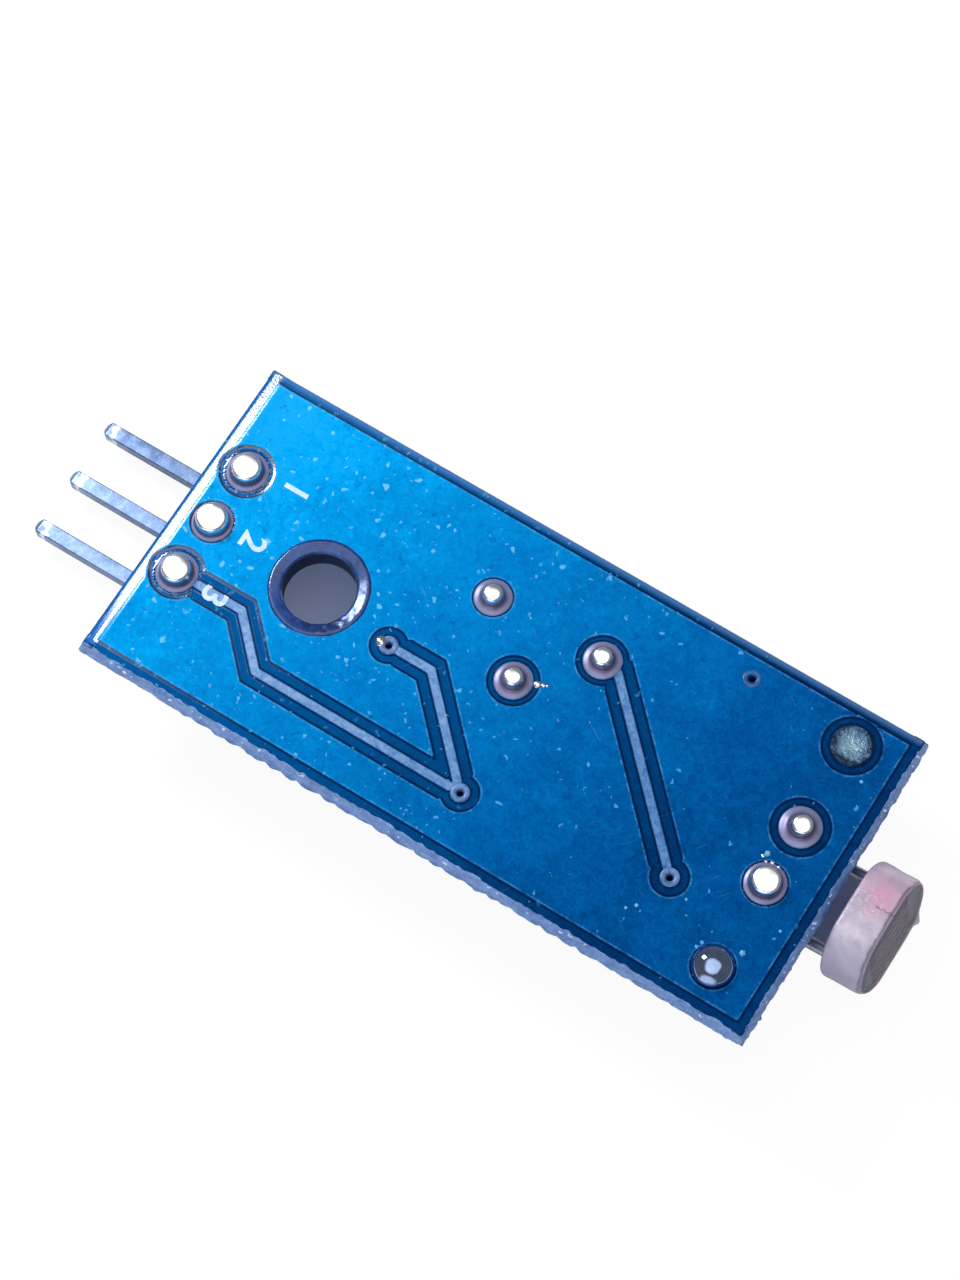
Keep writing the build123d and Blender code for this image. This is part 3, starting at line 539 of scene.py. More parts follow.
def dipped_resin():
    """Clear resin that the photoresistor was dipped in: milky lilac where it is thick round the rim, pink
    with a white crackle over the upper half whose pale marks are partly painted glints, cracked once, with
    painted shade as a dark line where it leaves the rim and as slate over the face, and clear over the face."""
    material, tree, shader, spot = new_material("dipped resin", roughness=0.2)
    from_back = add_node(tree, "VectorMath", {0: spot, 1: head_back}, operation="SUBTRACT")
    depth = add_node(tree, "VectorMath", {0: from_back, 1: head_axis}, "Value", operation="DOT_PRODUCT")
    across = add_node(tree, "SeparateXYZ", [from_back], "Y")
    clouds = add_node(tree, "TexNoise", {"Vector": spot, "Scale": 1.3, "Detail": 5.0, "Roughness": 0.6})
    fine = add_node(tree, "TexNoise", {"Vector": spot, "Scale": 6.0, "Detail": 4.0})
    body = "#bcb0cb"
    layers = [(add_node(tree, "MapRange", [clouds, 0.35, 0.65]), "#e2d9ea"),
              (add_node(tree, "MapRange", [across, -1.2, -2.5]), "#aeaac8")]

    # Pink over the upper half, strongest in a ragged patch
    patch = head_axis * 0.95 + Vector((0, 0.55, 0)) + head_rise * 2.05
    reach = add_node(tree, "VectorMath", {0: from_back, 1: patch}, "Value", operation="DISTANCE")
    ragged = add_node(tree, "Math", [clouds, -1.8, reach], operation="MULTIPLY_ADD")
    layers += [(add_node(tree, "MapRange", [across, -0.5, 1.2, 0.0, 0.5]), "#cfa6c2"),
               (add_node(tree, "MapRange", [ragged, 0.1, -0.7, 0.0, 0.75]), "#de98ba")]

    # Crackle: pale blotches and fine white veins on the patch's inner side, partly painted glints, and one
    # crack to the face
    inner = head_axis * 0.45 + Vector((0, 0.15, 0)) + head_rise * 2.05
    nearness = add_node(tree, "VectorMath", {0: from_back, 1: inner}, "Value", operation="DISTANCE")
    near = add_node(tree, "MapRange", [nearness, 0.9, 0.4])
    veins = add_node(tree, "TexVoronoi", {"Vector": spot, "Scale": 4.2, "Randomness": 1.0},
                     feature="DISTANCE_TO_EDGE")
    vein = add_node(tree, "MapRange", [veins, 0.09, 0.02])
    for share in (near, add_node(tree, "MapRange", [fine, 0.42, 0.55])):
        vein = add_node(tree, "Math", [vein, share], operation="MULTIPLY")
    specks = add_node(tree, "MapRange", [fine, 0.52, 0.6])
    blotch = add_node(tree, "Math", [near, specks], operation="MULTIPLY")
    crack_line = add_node(tree, "Math", [fine, 0.3, across], operation="MULTIPLY_ADD")
    crack_line = add_node(tree, "Math", [crack_line, 0.39, 0.035], operation="COMPARE")
    by_face = add_node(tree, "MapRange", [depth, 0.85, 1.0])
    crack = add_node(tree, "Math", [crack_line, by_face], operation="MULTIPLY")
    for share, amount, colour in ((blotch, 0.4, "#f0dcec"), (vein, 0.7, "#f6eefa"), (crack, 0.6, "#7d4670")):
        layers.append((add_node(tree, "Math", [share, amount], operation="MULTIPLY"), colour))

    # Painted shade: a dark line where the rim turns into the face, and slate over the face
    wander = add_node(tree, "Math", [clouds, -0.25, depth], operation="MULTIPLY_ADD")
    line = add_node(tree, "Math", [wander, -1.51], operation="ADD")
    line = add_node(tree, "Math", [line], operation="ABSOLUTE")
    shaded_face = add_node(tree, "MapRange", [depth, 1.69, 1.77])
    layers += [(add_node(tree, "MapRange", [line, 0.01, 0.09, 0.7, 0.0]), "#64506e"), (shaded_face, "#2c3760")]
    for share, colour in layers:
        body = add_node(tree, "Mix", {0: share, 6: body, 7: colour}, **colour_mix)
    tree.links.new(body, shader.inputs["Base Color"])
    clearness = add_node(tree, "MapRange", [shaded_face, 0.0, 1.0, 0.95, 0.52])
    tree.links.new(clearness, shader.inputs["Alpha"])
    relief = add_node(tree, "Math", [vein, 0.6, clouds], operation="MULTIPLY_ADD")
    bump = add_node(tree, "Bump", {"Height": relief, "Distance": 0.03 * MM})
    tree.links.new(bump, shader.inputs["Normal"])
    return material


# How far the roughness of a plain finish wanders to each side
gloss_spread = 0.05

# Places that the finishes and the photoresistor's shape go by
head_tilt = math.radians(6.5)
head_back = Vector((16.16, 0.06, 3.45))
head_axis = Vector((math.cos(head_tilt), 0, math.sin(head_tilt)))
head_rise = Vector((-math.sin(head_tilt), 0, math.cos(head_tilt)))
joint_height = 0.62
# How fast the film's paleness, thinner film and painted lamp light together, changes along X
thinning_and_light_slope = 0.034
pin_highlight_row = -20.28
fill_low, fill_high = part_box("spare_pad_fill")
fill_place = ((fill_low + fill_high) / 2 / MM).to_2d()

lacquer_blue = blue_lacquer()
pin_tin = pin_plating()
solder_finish = joint_solder()
dull_solder = flux_pool()
sensor_resin = dipped_resin()

# Glass cloth in epoxy, snapped and sawn: a chalky pale blue edge with white fibre ends
glass_laminate = grained("glass and epoxy laminate", "#86aeea", "#4874c0", 0.12, relief=0.03, roughness=0.5)
glass_fibre = grained("torn glass fibre", "#dcebff", "#8fb2e6", 0.06, relief=0.01, roughness=0.35)

# Copper plated with tin in a bath: a soft grey metal
tinned_copper = grained("tinned copper", "#d5d8e2", "#a9aebf", 0.1, relief=0.004, metallic=1.0,
                        roughness=0.3)

# Tin plate on drawn steel leads: grey and a little duller than the pins
lead_tin = grained("tin plate on steel leads", "#b9bfd0", "#7c8399", 0.2, relief=0.006, metallic=1.0,
                   roughness=0.35)

# Solder that froze fast: bright joints, and a ball like a dark mirror
bright_solder = grained("bright solder", "#e8eaf2", "#b9bbc9", 0.3, relief=0.004, metallic=1.0,
                        roughness=0.2)
ball_solder = grained("mirror solder", "#a9bbdc", "#7f93bd", 0.5, relief=0.006, metallic=1.0, roughness=0.07)

# Nylon with glass, moulded: black, and dull where the glass comes to its face
header_plastic = grained("black glass-filled nylon", "#24262a", "#15161a", 0.08, relief=0.006, roughness=0.5)

# Thermoset, moulded hot: an even mid blue with a fine matt skin
case_plastic = grained("blue moulded thermoset", "#2160b8", "#184f9e", 0.12, relief=0.004, roughness=0.42)

# Plain nylon, moulded: a warm white that looks slightly waxy
rotor_plastic = grained("white moulded nylon", "#efece2", "#dedacd", 0.1, relief=0.004, roughness=0.45)

# Epoxy poured into the trimmer's back: dark grey with a sagging, rather glossy face
base_resin = grained("potting resin", "#3b4048", "#2a2e36", 0.2, relief=0.01, roughness=0.35)

# Epoxy with silica, moulded round a chip: charcoal and matt from its mould
black_epoxy = grained("black moulded epoxy", "#27282b", "#17181a", 0.05, relief=0.008, roughness=0.55)

# Silicone rubber, moulded as a ring: brick red and soft in its shine
seal_rubber = grained("silicone rubber", "#b6453a", "#96352d", 0.1, relief=0.004, roughness=0.5)

# Phosphor bronze, rolled and stamped: a warm brown metal with a satin face
spring_bronze = grained("phosphor bronze spring", "#c79a63", "#a97d49", 0.2, relief=0.003, metallic=1.0,
                        roughness=0.3)

# Carbon and glass ink, printed and fired: a dull brown black
resistive_film = grained("fired resistive film", "#3c3733", "#2a2623", 0.05, relief=0.005, roughness=0.55)

# Alumina, pressed and fired: a flat chalky white
alumina = grained("white alumina", "#f0eee8", "#dfdcd4", 0.06, relief=0.004, roughness=0.5)

# Tin plated in a barrel on chips' ends: grey, pebbled by its tumbling
chip_tin = grained("tin plated chip ends", "#d9dbe2", "#b4b7c2", 0.08, relief=0.01, metallic=1.0,
                   roughness=0.32)

# Glass fired over a chip resistor: black and glossy
resistor_glass = grained("black overglaze", "#1d1e22", "#101114", 0.1, relief=0.003, roughness=0.25)

# Barium titanate, fired: a matt tan
capacitor_clay = grained("tan fired ceramic", "#b08a66", "#96704e", 0.06, relief=0.006, roughness=0.55)

# Indicator lamps: epoxy that lets the yellow under it through, a white laminate base and gold flashed ends
lamp_resin = grained("clear yellow resin", "#f2eec0", "#e2dc9a", 0.15, relief=0.002, roughness=0.12,
                     alpha=0.55)
lamp_white = grained("white lamp base", "#eceae4", "#d9d6cd", 0.08, relief=0.004, roughness=0.5)
lamp_gold = grained("gold flash", "#d9b25e", "#b8913f", 0.1, relief=0.004, metallic=1.0, roughness=0.3)

# Photoresistor: fired ceramic painted a darker grey lilac as the shade under its resin, a fired film with a
# rust red line's
# # colour, and metal evaporated on each side of it
shaded_sensor_clay = grained("pink fired ceramic", "#9a94b0", "#857f9c", 0.5, relief=0.01, roughness=0.4)
sensor_line = grained("light-sensitive film", "#b0573f", "#8c4030", 0.08, relief=0.004, roughness=0.4)
sensor_metal = grained("evaporated electrode metal", "#c2c6d6", "#9aa1b8", 0.1, relief=0.003, metallic=0.7,
                       roughness=0.35)

# Blue lacquer round the vias, pale where it is thin on a pad and deep where it covers a hole, and in chips
pad_lacquer = grained("blue lacquer over a via", "#6f9bd8", "#23528f", 0.15, relief=0.02, roughness=0.25)
tented_lacquer = grained("blue lacquer over a hole", "#0f66b0", "#004485", 0.15, relief=0.02, roughness=0.25)
pale_film = grained("chipped blue lacquer", "#7fd0ff", "#2f9be0", 0.08, relief=0.02, roughness=0.25)

# Blue lacquer pooled on bare laminate: dark navy, with dust stuck in it and a pale glare
pooled_lacquer = grained("pooled blue lacquer", "#1f4a96", "#0a1c48", 0.2, relief=0.006, roughness=0.2,
                         specular_ior_level=1.0, specular_tint=linear("#c4d6ff"))

# The same lacquer down the drilled wall, painted nearly black as the hole's shade
hole_wall_shade_lacquer = grained("lacquer on drilled laminate", "#0a2858", "#020c24", 0.2, roughness=0.5,
                         specular_ior_level=0.2)

# Epoxy ink, screened: a cold white that the blue shows through
white_ink = grained("white screened ink", "#eaf6ff", "#a9d8f8", 0.12, relief=0.01, roughness=0.5)


# Lacquer of the board's two sides

plated_holes = [((low + high) / 2, (high.x - low.x) / 2) for low, high in solids_of("hole_plating")]
via_limit = 0.3
vias = [(centre, radius) for centre, radius in plated_holes if radius < via_limit]
pad_holes = [(centre, radius) for centre, radius in plated_holes if radius >= via_limit]


def triangles_of(node_names, wanted):
    """A search tree of the wanted triangles of some CAD nodes, and the node that each triangle is of."""
    points = []
    triangles = []
    owners = []
    for name in node_names:
        mesh = nodes[name].data
        offset = len(points)
        points.extend(vertex.co.copy() for vertex in mesh.vertices)
        for polygon in mesh.polygons:
            if wanted(polygon):
                triangles.append([offset + index for index in polygon.vertices])
                owners.append(name)
    return BVHTree.FromPolygons(points, triangles), owners


def is_drilled(spot):
    """True on the wall of a plated hole, which isn't an edge of the copper's outline."""
    place = spot.to_2d() / MM
    return any((place - centre.to_2d()).length < radius + 0.03 for centre, radius in plated_holes)


def is_wall(face):
    """True on the upright faces of the copper's outline."""
    return abs(face.normal.z) < 0.1 and not is_drilled(face.center)


def copper_edges(spots, plane_nodes, track_nodes, up):
    """How far each spot is inside the plane's and the tracks' outlines, negative outside, in mm."""
    names = plane_nodes + track_nodes
    walls, wall_owners = triangles_of(names, is_wall)
    tops, top_owners = triangles_of(names, lambda face: face.normal.z * up > 0.9)
    level = (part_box(names[0])[0].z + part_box(names[0])[1].z) / 2
    plane_edge = np.full(len(spots), -1.0)
    track_edge = np.full(len(spots), -1.0)
    for index, (x, y) in enumerate(spots):
        near, _, wall, reach = walls.find_nearest(Vector((x, y, level)))
        hit = tops.ray_cast(Vector((x, y, level + up * MM)), Vector((0, 0, -up)), 2 * MM)[2]
        reach = min(reach / MM, 1.0)
        inside = reach if hit is not None else -reach
        on_plane = (top_owners[hit] if hit is not None else wall_owners[wall]) in plane_nodes
        if hit is None:
            plane_edge[index] = -reach
            track_edge[index] = -reach if wall_owners[wall] in track_nodes else -1.0
        elif on_plane:
            plane_edge[index] = inside
        else:
            track_edge[index] = inside
    return plane_edge, track_edge


def rise(values, low, high):
    """A smooth step from 0 at low to 1 at high."""
    share = np.clip((values - low) / (high - low), 0, 1)
    return share * share * (3 - 2 * share)


def lacquer_sheet(name, plane_nodes, track_nodes, face, up, openings, discs=(), lips=()):
    """A film of lacquer on one side, which follows the copper under it and stops at the openings. Each disc
    is a place with the radii of its copper and of the moat round it; each lip is an opening in the plane."""
    columns = round(face_length / lacquer_grid)
    rows = round(face_width / lacquer_grid)
    bpy.ops.mesh.primitive_grid_add(x_subdivisions=columns, y_subdivisions=rows, size=1,
                                    location=(0, 0, face * MM))
    bpy.context.object.scale = (face_length * MM, face_width * MM, 1)
    sheet = newest(name)

    # Open the film over each hole and pad, and round the openings' edges
    edit(sheet, "DESELECT")
    leave_edit()
    mesh = sheet.data
    for polygon in mesh.polygons:
        spot = polygon.center / MM
        polygon.select = any((spot.to_2d() - place).length < radius for place, radius in openings)
    bpy.ops.object.mode_set(mode="EDIT")
    bpy.ops.mesh.delete(type="FACE")
    leave_edit()
    points = np.empty(len(mesh.vertices) * 3)
    mesh.vertices.foreach_get("co", points)
    points = points.reshape(-1, 3)
    for place, radius in openings:
        away = points[:, :2] / MM - np.array(place)
        reach = np.hypot(away[:, 0], away[:, 1])
        near = (reach < radius + lacquer_grid * 0.55) & (reach > 1e-6)
        points[near, :2] = (np.array(place) + away[near] * (radius / reach[near])[:, None]) * MM

    # The copper's edges: those of the CAD copper, with its many-sided pads and moats made round
    plane_edge, track_edge = copper_edges(points[:, :2], plane_nodes, track_nodes, up)
    x, y = points[:, 0] / MM, points[:, 1] / MM
    for place, copper_radius, moat_radius in discs:
        reach = np.hypot(x - place[0], y - place[1])
        round_pad = copper_radius - reach
        round_moat = reach - moat_radius
        by_pad = (round_pad > 0) | (np.abs(track_edge - round_pad) < pad_facet)
        track_edge = np.where(by_pad, round_pad, track_edge)
        plane_edge = np.where(np.abs(plane_edge - round_moat) < moat_facet, round_moat, plane_edge)
    for place, radius in lips:
        reach = np.hypot(x - place[0], y - place[1])
        lip = np.where(reach < radius + lip_reach, reach - radius - 0.03, 1.0)
        plane_edge = np.minimum(plane_edge, lip)

    # Follow the copper, and stand in a bead along the header's edge of the solder side
    climb = rise(np.maximum(plane_edge, track_edge), -shoulder_width, 0.0)
    lift = lacquer_thickness + copper_thickness * climb
    inwards = x + face_length / 2
    outside_moats = np.ones(len(x))
    for place, _, moat_radius in discs:
        reach = np.hypot(x - place[0], y - place[1])
        outside_moats *= rise(reach, moat_radius - 0.04, moat_radius + 0.04)
    bead = rise(inwards, bead_start, 0.16) * (1 - rise(inwards, 0.5, 0.66)) * rise(y, -6.9, -3.2)
    bead *= outside_moats * (up > 0)
    if up > 0:
        climbed = np.clip((inwards - bead_start) / (bead_crest - bead_start), 0, 1)
        slope = climbed * (1 - rise(inwards, 0.6, bead_end))
        beaded = np.where(inwards < bead_crest, lacquer_thickness + 0.01, lift) + bead_height * slope
        lift = lift + (beaded - lift) * outside_moats
    points[:, 2] = (face + up * lift) * MM

    # The snapped edges take some of the film with them
    for side, value, tear in ((1, x, 0.07), (0, y, 0.1)):
        half = (face_length if side else face_width) / 2
        border = np.abs(value) > half - 0.001
        for index in np.nonzero(border & ((value > 0) if side else (value < 0)))[0]:
            spot = Vector((x[index], y[index], 0))
            bite = 0.4 * noise.noise(spot * 1.1) + 0.6 * noise.noise(spot * 3.3) + 0.15
            bite = max(0.0, bite) * tear * 1.6
            points[index, 0 if side else 1] -= math.copysign(bite, value[index]) * MM
    mesh.vertices.foreach_set("co", points.ravel())
    for label, values in (("plane_edge", plane_edge), ("track_edge", track_edge), ("bead", bead)):
        attribute = mesh.attributes.new(label, "FLOAT", "POINT")
        attribute.data.foreach_set("value", values.astype(np.float32))

    # Turn the film down at its borders
    edit(sheet, "DESELECT")
    bpy.ops.mesh.select_mode(type="EDGE")
    bpy.ops.mesh.select_non_manifold()
    bpy.ops.mesh.extrude_region_move(TRANSFORM_OT_translate={"value": (0, 0, -up * border_depth * MM)})
    bpy.ops.mesh.select_mode(type="VERT")
    bpy.ops.mesh.select_all(action="SELECT")
    if up < 0:
        bpy.ops.mesh.flip_normals()
    leave_edit()
    bpy.ops.object.shade_smooth()
    return sheet


def joint_openings(solder_nodes):
    """The places and radii of the solder joints of some CAD nodes."""
    found = []
    for node in solder_nodes:
        for low, high in solids_of(node):
            found.append((((low + high) / 2).to_2d(), (high.x - low.x) / 2))
    return found


solder_nodes = ["header_solder", "trimmer_solder", "sensor_solder", "solder_ball", "spare_pad_fill"]
joints = joint_openings(solder_nodes)
solder_openings = [(place, radius - pad_lap) for place, radius in joints]
hole_opening = [(hole_place, hole_radius + bare_ring)]
via_opening, via_copper, via_moat = 0.2, 0.38, 0.78
via_openings = [(centre.to_2d(), via_opening) for centre, radius in vias]

# Radii of the moats round the joints, and the places of the joints that stand in the plane without one
header_moat, trimmer_moat, sensor_moat = 1.15, 1.06, 1.2
in_plane = [Vector((-13.62, 0.08)), Vector((-2.33, 3.21)), Vector((12.84, -1.265)),
            Vector((12.84, -5.15))]


def is_in_plane(place):
    """True for a joint that stands in the plane's copper, with no moat."""
    return any((place - pad).length < 0.2 for pad in in_plane)


pad_discs = []
for place, radius in joints:
    if not is_in_plane(place):
        moat = header_moat if place.x < -10 else sensor_moat if place.x > 10 else trimmer_moat
        pad_discs.append((place, radius, moat))

# The vias past this row are in the plane's copper too, and their film covers the hole
tented_row = 5
via_discs = [(centre.to_2d(), via_copper, via_moat) for centre, radius in vias if centre.y < tented_row]
lips = [(place, radius) for place, radius in joints if is_in_plane(place)]
solder_lacquer = lacquer_sheet("solder_side_lacquer", ["ground_plane"],
                               ["output_track", "trimmer_track", "solder_side_pads"], solder_face, 1,
                               solder_openings + hole_opening + via_openings, pad_discs + via_discs, lips)
dress(solder_lacquer, lacquer_blue)
component_pads = [(centre.to_2d(), radius + bare_land) for centre, radius in pad_holes]
component_lacquer = lacquer_sheet("component_side_lacquer", [], ["component_side_tracks"], component_face,
                                  -1, component_pads + hole_opening)
dress(component_lacquer, lacquer_blue)


# Film round the vias, which sags into their holes, and the drops that froze near the joints

via_profile = [(0.42, -0.02), (0.4, 0.02), (0.32, 0.05), (0.22, 0.045), (0.16, 0.01), (0.135, -0.08),
               (0.13, -0.4), (0.19, -0.4), (0.2, -0.05), (0.42, -0.02)]
drop_profile = [(0.0, -0.1), (0.9, -0.1), (1.0, 0.1), (0.85, 0.5), (0.45, 0.85), (0.0, 0.95)]


def set_down(piece, place, level=0.0):
    """Moves a piece that was made at the origin to its place on the solder side's film."""
    work_on(piece)
    piece.location = Vector((place[0], place[1], copper_top + lacquer_thickness + level)) * MM
    bpy.ops.object.transform_apply(location=True)
    return piece


def via_film(name, centres, material, level=0.0):
    """The film round some vias, joined into one piece."""
    rings = [set_down(turned(name, via_profile, rounds=1), centre, level) for centre in centres]
    dress(join(rings, f"{name}s"), material)


via_film("via_ring", [centre for centre, radius in vias if centre.y < tented_row], pad_lacquer)
via_film("tented_via", [centre for centre, radius in vias if centre.y > tented_row], tented_lacquer,
         level=-0.01)


def drops(name, places, flatness, sides=16, rounds=1):
    """Small drops or flakes on the film; each is a place and a radius."""
    made = []
    for number, (x, y, radius) in enumerate(places, 1):
        profile = [(across * radius, height * radius * flatness) for across, height in drop_profile]
        lump = radius * (0.08 if rounds else 0.3)
        drop = roughen(turned("drop", profile, sides, rounds), size=0.2, depth=lump, seed=number)
        made.append(set_down(drop, (x, y)))
    return join(made, name)


solder_drops = [(-5.1, -0.66, 0.25), (1.1, 1.02, 0.17), (1.33, 1.12, 0.1), (1.46, 1.17, 0.06),
                (12.2, -0.36, 0.09), (12.66, -0.42, 0.08), (12.95, -0.44, 0.07), (12.42, -0.5, 0.06)]
dress(drops("solder_drops", solder_drops, flatness=0.4), bright_solder)
film_chips = [(13.52, -4.1, 0.14), (12.0, -4.55, 0.09), (11.9, -4.8, 0.08), (12.3, -0.2, 0.15),
              (14.3, -2.6, 0.08), (9.1, -4.6, 0.09), (8.8, -4.9, 0.07), (13.9, 4.2, 0.08),
              (10.6, -3.4, 0.07)]
dress(drops("film_chips", film_chips, flatness=0.35, sides=5, rounds=0), pale_film)


# Snapped edge of the laminate

# Each row of the band: its depth under the solder side, and how far it stands out from the scored web
edge_rows = [(-0.004, -0.55), (-0.002, -0.13), (0.02, -0.09), (0.08, -0.07), (0.16, -0.045),
             (0.24, -0.02), (0.31, 0.0), (0.38, 0.02), (0.46, 0.03), (0.54, 0.035), (0.62, 0.035),
             (0.7, 0.035), (0.78, 0.035), (0.84, 0.03), (0.87, 0.03), (0.9, 0.03), (0.95, -0.01),
             (1.0, -0.03), (1.1, -0.06), (1.18, -0.09), (1.202, -0.13), (1.204, -0.55)]
edge_spacing = 0.07

# Depths of the web that the two cuts left, and of the cloth's loops
web_depth = 0.64
fringe_depth = 0.885

# How deeply each side is torn, and how far the cloth's loops stand out of it
torn = {"low_y": (0.12, 0.12), "high_x": (0.17, 0.06), "high_y": (0.04, 0.0), "low_x": (0.03, 0.0)}


def edge_outline():
    """Points round the board's snapped outline, each with its outward direction, its tear and its fringe."""
    half_x = face_length / 2 + score_inset
    half_y = face_width / 2 + score_inset
    corners = [Vector((-half_x, -half_y)), Vector((half_x, -half_y)), Vector((half_x, half_y)),
               Vector((-half_x, half_y))]
    next_corners = corners[1:] + corners[:1]
    outwards = [Vector((0, -1)), Vector((1, 0)), Vector((0, 1)), Vector((-1, 0))]
    points = []
    for start, end, outward, (tear, fringe) in zip(corners, next_corners, outwards, torn.values()):
        count = round((end - start).length / edge_spacing)
        for step in range(count):
            ends = min(1.0, 4 * step / count, 4 * (count - step) / count)
            points.append((start.lerp(end, step / count), outward, tear, fringe * ends))
    return points


def torn_cloth(spot, depth, tear, fringe):
    """How far the snapped web stands out at a spot: rough resin, chips, and loops of cloth low down."""
    rough = noise.fractal(Vector((spot.x * 1.4, spot.y * 1.4, depth * 3)), 1.0, 2.0, 4)
    chip_spot = Vector((spot.x, spot.y, depth * 2)) * 3.7 + Vector((9, 4, 2))
    chips = max(0.0, noise.noise(chip_spot) - 0.15)
    web = math.exp(-((depth - web_depth) / 0.28) ** 2)
    along = spot.x + spot.y
    loops = abs(math.sin(math.pi * along / 0.85 + 2.5 * noise.noise(Vector((along * 0.7, 3, 1)))))
    patches = max(0.0, min(1.0, 1.2 + 1.6 * noise.noise(Vector((along * 0.28, 8, 2)))))
    low = math.exp(-((depth - fringe_depth) / 0.03) ** 2)
    return tear * (0.5 * rough + 1.2 * chips) * web + fringe * loops * patches * low


def snapped_edge():
    """A thin rough band round the laminate, scored and snapped: torn glass cloth between two cuts."""
    outline = edge_outline()
    outline.append(outline[0])

    def place(row, column):
        depth, offset = edge_rows[row]
        point, outward, tear, fringe = outline[column]
        before = outline[column - 1 if column else -2][1]
        direction = outward + before if outward != before else outward
        out = offset

        # The first and the last row are tucked under the film, and stay straight
        if 0 < row < len(edge_rows) - 1:
            grain = 0.012 * noise.noise(Vector((point.x, point.y, depth)) * 9)
            out += torn_cloth(point, depth, tear, fringe) + grain
        spot = point + direction * out
        return Vector((spot.x, spot.y, solder_face - depth))

    return wrapped("snapped_edge", len(edge_rows), len(outline), place)


dress(snapped_edge(), glass_laminate)


def splinters(count, seed):
    """Small flakes of torn laminate along the two rough edges, modelled once and turned every way."""
    bpy.ops.mesh.primitive_circle_add(vertices=6, radius=MM, fill_type="NGON")
    flake = newest("flake")
    edit(flake)
    bpy.ops.mesh.extrude_region_move(TRANSFORM_OT_translate={"value": (0.2 * MM, 0, 0.35 * MM)})
    bpy.ops.transform.resize(value=(0.6, 0.4, 1.0))
    bpy.ops.mesh.select_all(action="SELECT")
    bpy.ops.mesh.normals_make_consistent(inside=False)
    leave_edit()
    draw = random.Random(seed)
    places = []
    for number in range(count):
        depth = draw.uniform(0.03, 0.3)
        out = 0.02 + depth * 0.3
        if number % 2:
            spot = Vector((face_length / 2 + out, draw.uniform(-6.6, 6.6), solder_face - depth))
        else:
            spot = Vector((draw.uniform(-14.8, 14.8), -face_width / 2 - out, solder_face - depth))
        size = draw.uniform(0.03, 0.085)
        angle = draw.uniform(0, math.tau)
        turn = Matrix.Rotation(angle, 4, Vector([draw.uniform(-1, 1) for axis in range(3)]))
        places.append(Matrix.Translation(spot * MM) @ turn @ Matrix.Diagonal((size * 1.6, size, size, 1)))
    return scattered(flake, places, "edge_splinters")


dress(splinters(count=64, seed=5), glass_fibre)


# Rim of the fixing hole

# Each profile is a list of radii, and of heights over the laminate's solder side
rim_profile = [(2.1, 0.03), (2.06, 0.075), (1.98, 0.11), (1.9, 0.1), (1.76, 0.07), (1.63, 0.045),
               (1.53, 0.02), (1.485, -0.04), (1.485, -0.12), (1.53, -0.12), (1.6, -0.03), (2.1, -0.02),
               (2.1, 0.03)]
wall_profile = [(1.56, -0.04), (1.53, -0.04), (1.51, -0.07), (1.5, -0.14), (1.5, -0.4), (1.5, -0.8),
                (1.505, -1.2), (1.53, -1.2), (1.53, -0.4), (1.53, -0.1), (1.56, -0.06), (1.56, -0.02)]


def round_the_hole(name, profile):
    """A ring of lacquer at the fixing hole, with the small waves that it dried in."""
    ring = turned(name, profile, steps=64, rounds=1)
    ring.location = Vector((hole_place.x, hole_place.y, solder_face)) * MM
    work_on(ring)
    bpy.ops.object.transform_apply(location=True)
    roughen(ring, size=0.6, depth=0.012, seed=5)
    dusty = Vector((hole_place.x + 1.5, hole_place.y - 0.9, solder_face))
    return roughen(ring, size=0.2, depth=0.03, seed=6,
                   keep=lambda point: max(0.2, 1 - (point - dusty).length / 1.6))


dress(round_the_hole("hole_rim", rim_profile), pooled_lacquer)
dress(round_the_hole("hole_wall", wall_profile), hole_wall_shade_lacquer)


# Plain numbers beside the header's pads

numeral_height = 1.5


def numeral(digit, place):
    """A printed number that reads across the board, with its top towards the board's far end."""
    bpy.ops.object.text_add(location=(0, 0, 0))
    figure = bpy.context.object
    figure.data.body = digit
    figure.data.align_x = "CENTER"
    figure.data.align_y = "CENTER"
    figure.data.size = numeral_height * MM
    figure.data.extrude = 0.006 * MM
    figure.data.offset = 0.028 * MM
    work_on(figure)
    bpy.ops.object.convert(target="MESH")
    figure = bpy.context.object
    figure.rotation_euler = (0, 0, math.radians(-90))
    figure.location = Vector((*place, copper_top + lacquer_thickness + 0.004)) * MM
    return newest("numeral_" + digit)


numeral_places = [(-11.53, 2.95), (-11.78, 0.18), (-11.83, -2.55)]
for digit, place in zip("123", numeral_places):
    dress(numeral(digit, place), white_ink)


# Solder joints

# Each profile is a list of radii, as shares of the foot's, and heights, as shares of the rise
ball_profile = [(0.0, -0.05), (0.96, -0.05), (1.0, 0.08)]
ball_profile += [(math.cos(math.radians(angle)), 0.1 + 0.92 * math.sin(math.radians(angle)))
                 for angle in range(10, 90, 10)]
ball_profile += [(0.0, 1.02)]
fill_profile = [(0.0, -0.05), (0.98, -0.05), (1.0, 0.3), (0.97, 1.0), (0.9, 1.25), (0.82, 1.0), (0.68, 0.62),
                (0.4, 0.42), (0.0, 0.38)]


def joint_profile(top):
    """A lead's end in a bright flat top of a share of the foot's radius, a steep cone and a low skirt."""
    return [(0.0, -0.05), (0.98, -0.05), (1.0, 0.02), (0.93, 0.07), (0.8, 0.12), (top + 0.16, 0.2),
            (top + 0.11, 0.42), (top + 0.07, 0.74), (top + 0.01, 0.92), (top - 0.1, 0.97),
            (top * 0.5, 0.995), (0.0, 1.005)]


